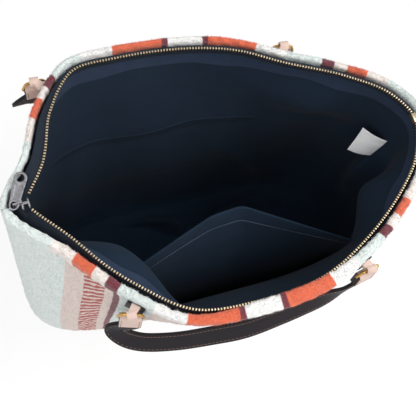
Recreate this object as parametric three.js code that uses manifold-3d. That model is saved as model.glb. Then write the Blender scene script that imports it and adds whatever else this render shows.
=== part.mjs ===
import * as THREE from 'three';
import { mergeVertices, toCreasedNormals } from 'three/addons/utils/BufferGeometryUtils.js';
import Module from 'manifold-3d';

// Tote bag standing open. Millimetres, +X along the mouth to the right, +Y to the back, +Z up.

// Bag body
const RIM_HEIGHT = 290;
const MOUTH_LENGTH = 384;
const MOUTH_DEPTH = 262;
const BELLY_HEIGHT = 85;
const BELLY_LENGTH = 386;
const BELLY_DEPTH = 167;
const BASE_LENGTH = 352;
const BASE_DEPTH = 128;
const CORNER_POWER = 3.9;
const FIT_GAP = 0.3;
const SEAM_GAP = 0.5;

// Wool cloth and its turned-in hem
const WOOL_THICKNESS = 2.6;
const HEM_ROLL = 3.2;
const HEM_DEPTH = 8;
const HEM_FLARE = 0.4;
const PANEL_COLUMNS = 22;

// Lining, pocket and label
const LINING_THICKNESS = 0.9;
const LINING_STANDOFF = 5.2;
const LINING_BEND = 12;
const FRONT_SLACK = 40;
const POCKET_WIDTH = 272;
const POCKET_BOTTOM = 66;
const POCKET_TOP = 212;
const POCKET_SHIFT = -9;
const POCKET_GAPE = 44;
const POCKET_HEM = 14;
const SHEET_LIFT = 1.2;
const LABEL_WIDTH = 28;
const LABEL_LENGTH = 32;
const LABEL_THICKNESS = 0.6;
const LABEL_DROP = 62;
const LABEL_SHARE = 0.4995;
const LABEL_CURL = [20, 70];

// Zip
const TAPE_THICKNESS = 0.8;
const TOOTH_PITCH = 2.6;
const TOOTH_HEIGHT = 1.9;
const CHAIN_THICKNESS = 2.4;
const CHAIN_HEIGHT = 3.8;
const CHAIN_RISE = 0.4;
const ZIP_INSET = 12.5;
const ZIP_INSET_LEFT = 8;
const SLIDER_CHANNEL = 4;
const SLIDER_PLATE = 1.4;
const SLIDER_WIDTH = 9.6;
const SLIDER_HEIGHT = 11;
const CROWN_REACH = 6.4;
const CROWN_WIRE = 1.6;
const CROWN_OPENING = 4.2;
const PULL_LENGTH = 33;
const PULL_THICKNESS = 1.6;
const PULL_EYE_RADIUS = 4.1;
const PULL_TIP_RADIUS = 5.4;
const PULL_HOLE = 6.8;
const PULL_BORDER = 1.4;
const PULL_RECESS = 0.4;
const PULL_TURN = -25;
const STOP_LENGTH = 9;

// Handles, rings and ring tabs
const STRAP_WIDTH = 19;
const STRAP_THICKNESS = 3.2;
const STRAP_DROP = 69;
const STRAP_COLUMNS = 28;
const END_LEATHER = 1.8;
const END_LENGTH = 19;
const END_ANGLE = 8;
const RING_WIRE = 2.5;
const RING_REACH = 11;
const RING_CORNER = 3;
const RING_TOP = 16;
const RING_CLEARANCE = 0.7;
const RING_DROP = 9;
const RING_LEAN = 2;
const TAB_WIDTH = 16;
const TAB_HEIGHT = 24;
const TAB_THICKNESS = 1.6;
const LOOP_WIDTH = 8;
const LOOP_FLARE = 18;
const LOOP_LEATHER = 1.4;

// Where each ring hangs: arc from the middle of its panel, reach out from the wool, and the turn of its
// bar from the X axis
const RING_PLACES = {
  front_left: { arc: -117, reach: 9.3, turn: -18 },
  front_right: { arc: 93, reach: 8.7, turn: 11 },
  back_left: { arc: -129, reach: 10.5, turn: 5 },
  back_right: { arc: 100, reach: 9, turn: -12 },
};

// Mouth outline as shares of its length and depth: front half left to right, back half right to left
const MOUTH_FRONT = [
  [-0.487, 0.03], [-0.378, -0.16], [-0.281, -0.324], [-0.161, -0.462],
  [0, -0.492], [0.156, -0.47], [0.292, -0.378], [0.414, -0.244], [0.479, -0.134],
];
const MOUTH_BACK = [
  [0.513, 0.023], [0.469, 0.156], [0.365, 0.267], [0.234, 0.359], [0.125, 0.443],
  [0, 0.489], [-0.161, 0.504], [-0.281, 0.485], [-0.372, 0.344], [-0.417, 0.198],
];

const COLOURS = {
  wool: 0xe9ece8,
  navy: 0x2a3546,
  satin: 0xf2f2f0,
  brass: 0xc8a878,
  nickel: 0x9a9aa2,
  gold: 0xc39a52,
  tan: 0xd2b8ac,
  brown: 0x4a3f40,
};

const UP = new THREE.Vector3(0, 0, 1);
const wasm = await Module();
wasm.setup();

const finishes = {
  wool: { color: COLOURS.wool, roughness: 0.95, metalness: 0 },
  navy: { color: COLOURS.navy, roughness: 0.85, metalness: 0 },
  satin: { color: COLOURS.satin, roughness: 0.45, metalness: 0 },
  brass: { color: COLOURS.brass, roughness: 0.35, metalness: 1 },
  nickel: { color: COLOURS.nickel, roughness: 0.3, metalness: 1 },
  gold: { color: COLOURS.gold, roughness: 0.25, metalness: 1 },
  tan: { color: COLOURS.tan, roughness: 0.6, metalness: 0 },
  brown: { color: COLOURS.brown, roughness: 0.8, metalness: 0 },
};

const bag = new THREE.Group();
bag.name = 'tote_bag';

function addNode(name, geometry, finish) {
  const mesh = new THREE.Mesh(geometry, new THREE.MeshStandardMaterial(finishes[finish]));
  mesh.name = name;
  bag.add(mesh);
  return mesh;
}

// A closed body from points and triangles, turned to face outward.
function closedBody(points, triangles) {
  let volume = 0;
  for (const [a, b, c] of triangles) {
    volume += points[a].dot(new THREE.Vector3().crossVectors(points[b], points[c]));
  }
  const index = triangles.flatMap(([a, b, c]) => (volume > 0 ? [a, b, c] : [a, c, b]));
  const geometry = new THREE.BufferGeometry();
  const flat = points.flatMap((p) => [p.x, p.y, p.z]);
  geometry.setAttribute('position', new THREE.Float32BufferAttribute(flat, 3));
  geometry.setIndex(index);
  return toCreasedNormals(geometry, 0.6);
}

// The faces that close an outline of points, as index triples in the outline's own sense
function capFaces(ring) {
  const normal = new THREE.Vector3();
  ring.forEach((point, i) => {
    const next = ring[(i + 1) % ring.length];
    normal.add(new THREE.Vector3().crossVectors(point, next));
  });
  const turn = new THREE.Quaternion().setFromUnitVectors(normal.normalize(), UP);
  const flat = ring.map((point) => {
    const laid = point.clone().applyQuaternion(turn);
    return new THREE.Vector2(laid.x, laid.y);
  });
  return THREE.ShapeUtils.triangulateShape([...flat], []).map((face) => {
    const sense = THREE.ShapeUtils.area(face.map((k) => flat[k]));
    return sense > 0 ? face : [face[0], face[2], face[1]];
  });
}

// A loft through rings of equal count. Its ends are capped, drawn to a hub point, or joined up.
// Where turned(i, j) holds, a four-sided face is split along its other diagonal, so that the two faces of a
// thin curved sheet are split alike and keep their distance.
function loft(rings, { hubs = null, joined = false, turned = () => false } = {}) {
  const count = rings[0].length;
  const points = rings.flat();
  const triangles = [];
  const spans = joined ? rings.length : rings.length - 1;
  for (let i = 0; i < spans; i += 1) {
    const near = i * count;
    const far = ((i + 1) % rings.length) * count;
    for (let j = 0; j < count; j += 1) {
      const k = (j + 1) % count;
      if (turned(i, j)) {
        triangles.push([near + j, near + k, far + j]);
        triangles.push([near + k, far + k, far + j]);
      } else {
        triangles.push([near + j, near + k, far + k]);
        triangles.push([near + j, far + k, far + j]);
      }
    }
  }
  const last = (rings.length - 1) * count;
  if (!hubs && !joined) {
    capFaces(rings[0]).forEach(([a, b, c]) => triangles.push([a, c, b]));
    capFaces(rings[rings.length - 1]).forEach(([a, b, c]) => triangles.push([last + a, last + b, last + c]));
  }
  if (hubs) {
    const first = points.length;
    points.push(hubs[0], hubs[1]);
    for (let j = 0; j < count; j += 1) {
      const k = (j + 1) % count;
      triangles.push([first, k, j]);
      triangles.push([first + 1, last + j, last + k]);
    }
  }
  return closedBody(points, triangles);
}

function toManifold(geometry) {
  const plain = geometry.clone();
  plain.deleteAttribute('normal');
  plain.deleteAttribute('uv');
  const welded = mergeVertices(plain, 1e-4);
  const vertProperties = new Float32Array(welded.attributes.position.array);
  const triVerts = new Uint32Array(welded.index.array);
  return new wasm.Manifold(new wasm.Mesh({ numProp: 3, vertProperties, triVerts }));
}

function fromManifold(body) {
  const mesh = body.getMesh();
  const geometry = new THREE.BufferGeometry();
  geometry.setAttribute('position', new THREE.BufferAttribute(mesh.vertProperties, 3));
  geometry.setIndex(new THREE.BufferAttribute(mesh.triVerts, 1));
  return toCreasedNormals(geometry, 0.6);
}

function unite(geometries) {
  return fromManifold(geometries.map(toManifold).reduce((whole, piece) => whole.add(piece)));
}

function cut(geometry, tools) {
  const body = toManifold(geometry);
  return fromManifold(tools.map(toManifold).reduce((rest, tool) => rest.subtract(tool), body));
}

// Bag wall

function outlineCurve(list) {
  return new THREE.CatmullRomCurve3(
    list.map(([x, y]) => new THREE.Vector3(x * MOUTH_LENGTH, y * MOUTH_DEPTH, 0)),
    true,
    'centripetal',
  );
}

const mouthCurve = outlineCurve([...MOUTH_FRONT, ...MOUTH_BACK]);
mouthCurve.arcLengthDivisions = 800;
const mouthLengths = mouthCurve.getLengths();
const frontLength = mouthLengths[Math.round(
  (800 * MOUTH_FRONT.length) / (MOUTH_FRONT.length + MOUTH_BACK.length),
)];
const backLength = mouthCurve.getLength() - frontLength;

// u runs 0 to 0.5 along the front from left to right, then 0.5 to 1 along the back.
function mouthPoint(u) {
  const turn = u - Math.floor(u);
  const arc = turn < 0.5
    ? turn * 2 * frontLength
    : frontLength + (turn - 0.5) * 2 * backLength;
  return mouthCurve.getPointAt(Math.min(arc / mouthCurve.getLength(), 1));
}

function bellyPoint(u, length, depth) {
  const angle = Math.PI + u * 2 * Math.PI;
  const share = 2 / CORNER_POWER;
  const cos = Math.cos(angle);
  const sin = Math.sin(angle);
  return new THREE.Vector3(
    (Math.sign(cos) * Math.abs(cos) ** share * length) / 2,
    (Math.sign(sin) * Math.abs(sin) ** share * depth) / 2,
    0,
  );
}

// The superellipse is walked evenly, so that its columns keep apart at the corners.
const BELLY_STEPS = 400;

function evenBelly(length, depth) {
  const points = [];
  const sums = [0];
  for (let i = 0; i <= BELLY_STEPS; i += 1) {
    points.push(bellyPoint(i / BELLY_STEPS, length, depth));
    if (i > 0) {
      sums.push(sums[i - 1] + points[i].distanceTo(points[i - 1]));
    }
  }
  return (u) => {
    const goal = (u - Math.floor(u)) * sums[BELLY_STEPS];
    const after = Math.max(1, sums.findIndex((sum) => sum >= goal));
    const span = sums[after] - sums[after - 1];
    return points[after - 1].clone().lerp(points[after], (goal - sums[after - 1]) / span);
  };
}

const bellyOutline = evenBelly(BELLY_LENGTH, BELLY_DEPTH);
const baseOutline = evenBelly(BASE_LENGTH, BASE_DEPTH);

function wallPoint(u, z) {
  let point;
  if (z < BELLY_HEIGHT) {
    const share = 1 - (1 - z / BELLY_HEIGHT) ** 2;
    point = baseOutline(u).lerp(bellyOutline(u), share);
  } else {
    const rise = (z - BELLY_HEIGHT) / (RIM_HEIGHT - BELLY_HEIGHT);
    const share = 0.45 * rise + 0.55 * rise * rise * (3 - 2 * rise);
    point = bellyOutline(u).lerp(mouthPoint(u), share);
  }
  return point.setZ(z);
}

const NORMAL_SPAN = 0.016;

function inward(u, z) {
  const along = wallPoint(u + NORMAL_SPAN, z).sub(wallPoint(u - NORMAL_SPAN, z));
  return new THREE.Vector3(-along.y, along.x, 0).normalize();
}

function inside(u, inset, z) {
  return wallPoint(u, z).addScaledVector(inward(u, z), inset);
}

function frontShare(arc) {
  return 0.25 + (0.5 * arc) / frontLength;
}

function backShare(arc) {
  return 0.75 - (0.5 * arc) / backLength;
}

function steps(from, to, count) {
  return Array.from({ length: count + 1 }, (_, i) => from + ((to - from) * i) / count);
}

function clip(columns, from, to) {
  const room = 0.002;
  return [from, ...columns.filter((u) => u > from + room && u < to - room), to];
}

// Wool panels, each one strip of cloth with a flared hem turned in at the rim

const wallHeights = steps(0, RIM_HEIGHT - HEM_DEPTH, 9);

function hemSection() {
  const top = RIM_HEIGHT;
  const roll = HEM_ROLL;
  const section = wallHeights.map((z) => [0, z]);
  for (const angle of steps(0, Math.PI, 6)) {
    section.push([roll - roll * Math.cos(angle), top - roll + roll * Math.sin(angle)]);
  }
  const leafEnd = 2 * roll + HEM_FLARE;
  section.push([leafEnd, top - HEM_DEPTH]);
  section.push([leafEnd - WOOL_THICKNESS, top - HEM_DEPTH - 1]);
  section.push([WOOL_THICKNESS + 1.2, top - roll - 2]);
  section.push([WOOL_THICKNESS, top - roll - 2]);
  const downward = [...wallHeights].reverse();
  section.push(...downward.map((z) => [WOOL_THICKNESS, z]));
  return section;
}

function woolPanel(columns) {
  const section = hemSection();
  return loft(columns.map((u) => section.map(([o, z]) => inside(u, o, z))));
}

const seamShare = SEAM_GAP / mouthCurve.getLength();

// Columns stand closer together at the two ends of the bag, where the cloth turns sharply.
function gathered(from, to) {
  return steps(0, 1, PANEL_COLUMNS)
    .map((t) => t - (0.6 * Math.sin(2 * Math.PI * t)) / (2 * Math.PI))
    .map((t) => from + (to - from) * t);
}

const frontColumns = gathered(seamShare, 0.5 - seamShare);
const backColumns = gathered(0.5 + seamShare, 1 - seamShare);
const allColumns = [...frontColumns, ...backColumns];
addNode('front_panel', woolPanel(frontColumns), 'wool');
addNode('back_panel', woolPanel(backColumns), 'wool');

function basePanel() {
  const rings = [0, WOOL_THICKNESS].map((z) => allColumns
    .map((u) => inside(u, WOOL_THICKNESS + 2 * FIT_GAP, z)));
  const hubs = [new THREE.Vector3(0, 0, 0), new THREE.Vector3(0, 0, WOOL_THICKNESS)];
  return loft(rings, { hubs });
}

addNode('base_panel', basePanel(), 'wool');

// Lining, a slack cup hung from the zip tapes

const leafEnd = 2 * HEM_ROLL + HEM_FLARE;
const tapeFoot = leafEnd + FIT_GAP;
const tapeBottom = RIM_HEIGHT - HEM_DEPTH - 1;
const liningTop = tapeBottom - FIT_GAP;
const liningFloor = WOOL_THICKNESS + FIT_GAP;

function bump(value, centre, reach) {
  const t = Math.min(Math.abs(value - centre) / reach, 1);
  return (1 + Math.cos(Math.PI * t)) / 2;
}

function liningInset(u, z) {
  const height = (z - liningFloor) / (liningTop - liningFloor);
  const plain = LINING_STANDOFF + (tapeFoot - LINING_STANDOFF) * height ** 2;
  const slack = FRONT_SLACK * bump(u, 0.245, 0.17) * bump(height, 0.72, 0.28);
  return plain + slack;
}

function liningPoint(u, z, extra) {
  return inside(u, liningInset(u, z) + extra, z);
}

const pocketRows = [...steps(POCKET_BOTTOM, POCKET_TOP - POCKET_HEM, 5), POCKET_TOP];

function liningShell() {
  const low = liningFloor + LINING_THICKNESS;
  const heights = [low, low + LINING_BEND, ...pocketRows, (POCKET_TOP + liningTop) / 2, liningTop];
  const inner = heights.map((z) => allColumns.map((u) => liningPoint(u, z, LINING_THICKNESS)));
  const outer = [...heights].reverse().map((z) => allColumns.map((u) => liningPoint(u, z, 0)));
  outer[outer.length - 1].forEach((point) => point.setZ(liningFloor));
  const hubs = [
    new THREE.Vector3(0, 0, liningFloor + LINING_THICKNESS),
    new THREE.Vector3(0, 0, liningFloor),
  ];
  return loft([...inner, ...outer], { hubs, turned: (i) => i >= heights.length });
}

addNode('lining', liningShell(), 'navy');

// Slip pocket on the front lining, its hem standing away from the lining in the middle

function pocketPanel() {
  const half = POCKET_WIDTH / 2;
  const from = frontShare(POCKET_SHIFT - half);
  const to = frontShare(POCKET_SHIFT + half);
  const columns = clip(frontColumns, from, to);
  const height = POCKET_TOP - POCKET_BOTTOM;
  const folded = SHEET_LIFT + 2 * LINING_THICKNESS;
  const section = [
    ...pocketRows.map((z) => [SHEET_LIFT, z]),
    [folded, POCKET_TOP],
    [folded, POCKET_TOP - POCKET_HEM],
    ...[...pocketRows].reverse().slice(1).map((z) => [SHEET_LIFT + LINING_THICKNESS, z]),
  ];
  const rings = columns.map((u) => section.map(([o, z]) => {
    const share = (z - POCKET_BOTTOM) / height;
    const swing = Math.sin(Math.PI * ((u - from) / (to - from)) ** 1.06) ** 0.8;
    const gape = POCKET_GAPE * swing * share ** 2;
    return liningPoint(u, z, LINING_THICKNESS + o + gape);
  }));
  return loft(rings, { turned: (i, j) => j >= pocketRows.length });
}

addNode('pocket', pocketPanel(), 'navy');

// Blank label sewn by one edge to the lining at the right end, curling inward

function labelSheet() {
  const top = RIM_HEIGHT - LABEL_DROP;
  const probe = 0.004;
  const before = liningPoint(LABEL_SHARE - probe, top, 0);
  const reach = liningPoint(LABEL_SHARE + probe, top, 0).distanceTo(before);
  const columns = steps(LABEL_SHARE, LABEL_SHARE + (2 * probe * LABEL_WIDTH) / reach, 4);
  const shares = steps(0, 1, 6);
  const [near, far] = LABEL_CURL.map(THREE.MathUtils.degToRad);
  const radius = LABEL_LENGTH / (far - near);
  const rings = columns.map((u) => {
    const face = (side) => shares.map((share) => {
      const angle = near + (far - near) * share;
      const hang = radius * (Math.sin(angle) - Math.sin(near));
      const lean = radius * (Math.cos(near) - Math.cos(angle));
      const seat = inside(u, liningInset(u, top) + LINING_THICKNESS + SHEET_LIFT, top);
      seat.addScaledVector(inward(u, top), lean + side * LABEL_THICKNESS * Math.cos(angle));
      return seat.setZ(top - hang + side * LABEL_THICKNESS * Math.sin(angle));
    });
    return [...face(0), ...face(1).reverse()];
  });
  return loft(rings);
}

addNode('label', labelSheet(), 'satin');

// Zip: the tapes stand on the hem leaf and carry the toothed chains at their upper edge

function zipInset(u) {
  const turn = u - Math.floor(u);
  const past = turn > 0.5 ? 1 - turn : turn;
  const reach = turn > 0.5 ? 0.16 : 0.1;
  return ZIP_INSET + ZIP_INSET_LEFT * bump(past, 0, reach);
}

const chainTop = RIM_HEIGHT + CHAIN_RISE;
const chainFoot = chainTop - CHAIN_HEIGHT;
const tapeTop = chainFoot - FIT_GAP;

function railCurve(from, to) {
  const shares = steps(from, to, 120);
  return new THREE.CatmullRomCurve3(shares.map((u) => inside(u, zipInset(u), RIM_HEIGHT)));
}

const postHalf = 1.1;

// The share of the outline that takes up a distance along the zip line, counted from one end
function endShare(end, distance) {
  const probe = 0.004;
  const reach = inside(end + probe, zipInset(end + probe), RIM_HEIGHT)
    .distanceTo(inside(end - probe, zipInset(end - probe), RIM_HEIGHT));
  return (2 * probe * distance) / reach;
}

// The share at which the zip line, coming from the left end, has cleared the slider's side
function sliderShare(sense) {
  const into = inward(0, RIM_HEIGHT);
  const along = new THREE.Vector3().crossVectors(UP, into);
  const tip = inside(0, zipInset(0), RIM_HEIGHT);
  const clear = SLIDER_WIDTH / 2 + CHAIN_THICKNESS / 2;
  let share = 0;
  while (Math.abs(inside(sense * share, zipInset(sense * share), RIM_HEIGHT).sub(tip).dot(along)) < clear) {
    share += 0.0001;
  }
  return share;
}

const frontSlot = sliderShare(1);
const backSlot = sliderShare(-1);
const stopShare = endShare(0.5, STOP_LENGTH / 2 + 2 * FIT_GAP);

// The tape's upper edge follows the chain, and stands back from the slider and from the end stop.
const sliderRoom = SLIDER_CHANNEL / 2 + SLIDER_PLATE + 2.4;
const stopRoom = CHAIN_THICKNESS / 2 + 2;

function tapeEdge(u) {
  const past = u < 0.5 ? u : 1 - u;
  const slot = u < 0.5 ? frontSlot : backSlot;
  if (past < slot) {
    return zipInset(u) - sliderRoom;
  }
  return 0.5 - past < stopShare ? zipInset(u) - stopRoom : zipInset(u);
}

function tapeColumns(columns, slots) {
  const step = 0.0014;
  const from = columns[0];
  const to = columns[columns.length - 1];
  const [first, last] = slots;
  return [
    ...clip(columns, from, first - step),
    ...clip(columns, first, last),
    ...clip(columns, last + step, to),
  ];
}

function tapeBand(columns) {
  const half = TAPE_THICKNESS / 2;
  const foot = tapeFoot + half;
  const section = [
    [foot - half, tapeBottom], [foot + half, tapeBottom],
    [half, tapeTop], [-half, tapeTop],
  ];
  const rings = columns.map((u) => section.map(([o, z], i) => {
    const edge = inside(u, tapeEdge(u) + o, RIM_HEIGHT).setZ(z);
    return i < 2 ? inside(u, o, z) : edge;
  }));
  return loft(rings, { turned: (i, j) => j > 1 });
}

addNode('zip_tape_front', tapeBand(tapeColumns(frontColumns, [frontSlot, 0.5 - stopShare])), 'navy');
addNode('zip_tape_back', tapeBand(tapeColumns(backColumns, [0.5 + stopShare, 1 - backSlot])), 'navy');

// One chain: a strip with a flat-topped tooth in each pitch, built two pitches at a time
function chainStrip(from, to) {
  const rail = railCurve(from, to);
  rail.arcLengthDivisions = 800;
  const length = rail.getLength();
  const pairs = Math.floor(length / (2 * TOOTH_PITCH));
  const pitch = length / (2 * pairs);
  const half = CHAIN_THICKNESS / 2;
  const points = [];
  const triangles = [];
  const place = (arc, side, z) => {
    const share = Math.min(Math.max(arc / length, 0), 1);
    const spot = rail.getPointAt(share);
    const along = rail.getTangentAt(share);
    spot.add(new THREE.Vector3(-along.y, along.x, 0).multiplyScalar(side * half));
    points.push(spot.setZ(z));
    return points.length - 1;
  };
  const both = (arc, z) => [place(arc, -1, z), place(arc, 1, z)];
  const low = chainTop - TOOTH_HEIGHT;
  const wall = (a, b, c) => {
    triangles.push([a[0], c[0], b[0]]);
    triangles.push([a[1], b[1], c[1]]);
  };
  const strip = (a, b) => {
    triangles.push([a[0], a[1], b[1]]);
    triangles.push([a[0], b[1], b[0]]);
  };
  let foot = both(0, chainFoot);
  let crest = both(0, low);
  strip(foot, crest);
  for (let i = 0; i < pairs; i += 1) {
    const start = i * 2 * pitch;
    const marks = [[0.3, chainTop], [0.75, chainTop], [1, low], [1.3, chainTop], [1.75, chainTop], [2, low]];
    const crests = [crest, ...marks.map(([share, z]) => both(start + share * pitch, z))];
    const nextFoot = both(start + 2 * pitch, chainFoot);
    for (let k = 0; k < 6; k += 1) {
      wall(k < 3 ? foot : nextFoot, crests[k + 1], crests[k]);
      strip(crests[k], crests[k + 1]);
    }
    wall(foot, nextFoot, crests[3]);
    strip(nextFoot, foot);
    foot = nextFoot;
    crest = crests[6];
  }
  strip(crest, foot);
  return closedBody(points, triangles);
}

addNode('zip_chain_front', chainStrip(frontSlot, 0.5 - stopShare), 'brass');
addNode('zip_chain_back', chainStrip(0.5 + stopShare, 1 - backSlot), 'brass');

// A frame at a spot on the zip line: x into the bag, y along the line, z up
function zipFrame(u) {
  const into = inward(u, RIM_HEIGHT);
  const along = new THREE.Vector3().crossVectors(UP, into);
  const spot = inside(u, zipInset(u), RIM_HEIGHT);
  return new THREE.Matrix4().makeBasis(into, along, UP).setPosition(spot);
}

function block(width, depth, height, x, y, z) {
  return new THREE.BoxGeometry(width, depth, height).translate(x, y, z);
}

function endStop() {
  const gap = CHAIN_THICKNESS;
  const body = block(gap + 1.6, STOP_LENGTH, CHAIN_HEIGHT + 1, 0, 0, CHAIN_RISE - CHAIN_HEIGHT / 2);
  const groove = block(gap - 0.8, STOP_LENGTH + 2, 1.2, 0, 0, CHAIN_RISE + 0.5);
  return cut(body, [groove]).applyMatrix4(zipFrame(0.5));
}

addNode('zip_end_stop', endStop(), 'brass');

function plateShape() {
  const half = SLIDER_WIDTH / 2;
  const foot = half * 0.72;
  const top = CHAIN_RISE + 0.6;
  const bottom = top - SLIDER_HEIGHT;
  const shape = new THREE.Shape();
  shape.moveTo(-foot, bottom);
  shape.lineTo(foot, bottom);
  shape.lineTo(half, bottom + SLIDER_HEIGHT * 0.55);
  shape.lineTo(half, top - 2);
  shape.lineTo(half - 2, top);
  shape.lineTo(2 - half, top);
  shape.lineTo(-half, top - 2);
  shape.lineTo(-half, bottom + SLIDER_HEIGHT * 0.55);
  return shape;
}

const plateOffset = SLIDER_CHANNEL / 2;
const crownBar = plateOffset + SLIDER_PLATE + CROWN_REACH - CROWN_WIRE / 2;
const crownMiddle = CHAIN_RISE + 1 + PULL_THICKNESS / 2;

function sliderBody() {
  const turn = new THREE.Matrix4().makeBasis(
    new THREE.Vector3(0, 1, 0),
    new THREE.Vector3(0, 0, 1),
    new THREE.Vector3(1, 0, 0),
  );
  const plates = [plateOffset, -plateOffset - SLIDER_PLATE].map((x) => {
    const plate = new THREE.ExtrudeGeometry(plateShape(), { depth: SLIDER_PLATE, bevelEnabled: false });
    return plate.applyMatrix4(turn).translate(x, 0, 0);
  });
  const post = block(SLIDER_CHANNEL + 1, 2 * postHalf, 6, 0, 0, CHAIN_RISE - 2.4);
  const crown = new THREE.Shape();
  const legTop = crownMiddle + CROWN_OPENING / 2 + CROWN_WIRE;
  const legFoot = crownMiddle - CROWN_OPENING / 2 - CROWN_WIRE;
  const wallX = -plateOffset - SLIDER_PLATE / 2;
  const tipX = -crownBar - CROWN_WIRE / 2;
  crown.moveTo(wallX, legFoot);
  crown.lineTo(wallX, legFoot + CROWN_WIRE);
  crown.lineTo(tipX + CROWN_WIRE, legFoot + CROWN_WIRE);
  crown.lineTo(tipX + CROWN_WIRE, legTop - CROWN_WIRE);
  crown.lineTo(wallX, legTop - CROWN_WIRE);
  crown.lineTo(wallX, legTop);
  crown.lineTo(tipX + 1, legTop);
  crown.lineTo(tipX, legTop - 1);
  crown.lineTo(tipX, legFoot + 1);
  crown.lineTo(tipX + 1, legFoot);
  const arch = new THREE.ExtrudeGeometry(crown, { depth: CROWN_WIRE, bevelEnabled: false });
  arch.translate(0, 0, -CROWN_WIRE / 2).rotateX(Math.PI / 2);
  const neck = block(SLIDER_PLATE, CROWN_WIRE, legTop, wallX, 0, legTop / 2);
  return unite([...plates, post, arch, neck]);
}

const sliderFrame = zipFrame(0);
addNode('zip_slider', sliderBody().applyMatrix4(sliderFrame), 'nickel');

// Pull: a tapered plate with an eye, a sunk panel on each face and a round hole near its tip
function taperShape(nearRadius, farRadius, nearY, farY) {
  const shape = new THREE.Shape();
  const lean = Math.asin((farRadius - nearRadius) / (farY - nearY));
  shape.absarc(0, nearY, nearRadius, Math.PI - lean, 2 * Math.PI + lean, false);
  shape.absarc(0, farY, farRadius, lean, Math.PI - lean, false);
  return shape;
}

function pullPlate() {
  const tipY = PULL_LENGTH - PULL_TIP_RADIUS - PULL_EYE_RADIUS;
  const shape = taperShape(PULL_EYE_RADIUS, PULL_TIP_RADIUS, 0, tipY);
  const eyeInner = PULL_EYE_RADIUS - PULL_BORDER;
  const eye = new THREE.Path();
  eye.absellipse(0, 0, eyeInner, eyeInner + 0.5, 0, 2 * Math.PI, true, 0);
  const hole = new THREE.Path();
  hole.absarc(0, tipY, PULL_HOLE / 2, 0, 2 * Math.PI, true);
  shape.holes.push(eye, hole);
  const options = { depth: PULL_THICKNESS, bevelEnabled: false, curveSegments: 8 };
  const plate = new THREE.ExtrudeGeometry(shape, options).translate(0, 0, -PULL_THICKNESS / 2);
  const nearY = PULL_EYE_RADIUS + PULL_BORDER + 1.6;
  const farY = tipY - PULL_HOLE / 2 - PULL_BORDER - 2.6;
  const sunk = taperShape(eyeInner - 0.6, PULL_TIP_RADIUS - PULL_BORDER - 1.2, nearY, farY);
  const deep = new THREE.ExtrudeGeometry(sunk, { depth: 2, bevelEnabled: false, curveSegments: 6 });
  const upper = deep.clone().translate(0, 0, PULL_THICKNESS / 2 - PULL_RECESS);
  const lower = deep.clone().translate(0, 0, PULL_RECESS - PULL_THICKNESS / 2 - 2);
  return cut(plate, [upper, lower]);
}

const pullPlace = new THREE.Matrix4().makeRotationZ(THREE.MathUtils.degToRad(PULL_TURN));
const pullSpot = new THREE.Vector3(-crownBar, 0, crownMiddle).applyMatrix4(sliderFrame);
pullPlace.setPosition(pullSpot);
addNode('zip_pull', pullPlate().applyMatrix4(pullPlace), 'nickel');

// Rings, ring tabs and handles

// A ring place: the spot of its inner bar, the bar's direction and the way out from the bag
function ringPlace(name) {
  const { arc, reach, turn } = RING_PLACES[name];
  const u = name.startsWith('front') ? frontShare(arc) : backShare(arc);
  const z = RIM_HEIGHT - RING_DROP;
  const wallOut = inward(u, z).negate();
  const spot = wallPoint(u, z).addScaledVector(wallOut, reach);
  const angle = THREE.MathUtils.degToRad(turn);
  const bar = new THREE.Vector3(Math.cos(angle), Math.sin(angle), 0);
  const out = new THREE.Vector3(bar.y, -bar.x, 0);
  if (out.dot(wallOut) < 0) {
    out.negate();
  }
  return { u, z, spot, bar, out, wallOut };
}

const ringHalf = STRAP_WIDTH / 2 + RING_CLEARANCE + RING_WIRE / 2;
const ringLean = THREE.MathUtils.degToRad(RING_LEAN);

function ringHang(place) {
  return place.out.clone().multiplyScalar(Math.sin(ringLean)).addScaledVector(UP, -Math.cos(ringLean));
}

// The ring is narrower at its upper bar, so its sides splay toward the strap.
function ringWire(place) {
  const hang = ringHang(place);
  const face = new THREE.Vector3().crossVectors(place.bar, hang);
  const corner = RING_CORNER;
  const top = RING_TOP / 2;
  const splay = THREE.MathUtils.radToDeg(Math.atan((ringHalf - top) / (RING_REACH - 2 * corner)));
  const corners = [
    [ringHalf - corner, RING_REACH - corner, -splay, 90],
    [corner - ringHalf, RING_REACH - corner, 90, 180 + splay],
    [corner - top, corner, 180 + splay, 270],
    [top - corner, corner, 270, 360 - splay],
  ];
  const rings = [];
  for (const [x, y, start, end] of corners) {
    for (const turn of steps(start, end, 2)) {
      const angle = THREE.MathUtils.degToRad(turn);
      const ray = place.bar.clone().multiplyScalar(Math.cos(angle)).addScaledVector(hang, Math.sin(angle));
      const middle = place.spot.clone().addScaledVector(place.bar, x).addScaledVector(hang, y);
      middle.addScaledVector(ray, corner);
      rings.push(steps(0, 2 * Math.PI, 8).slice(0, -1).map((round) => middle.clone()
        .addScaledVector(ray, (Math.cos(round) * RING_WIRE) / 2)
        .addScaledVector(face, (Math.sin(round) * RING_WIRE) / 2)));
    }
  }
  return loft(rings, { joined: true });
}

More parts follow.
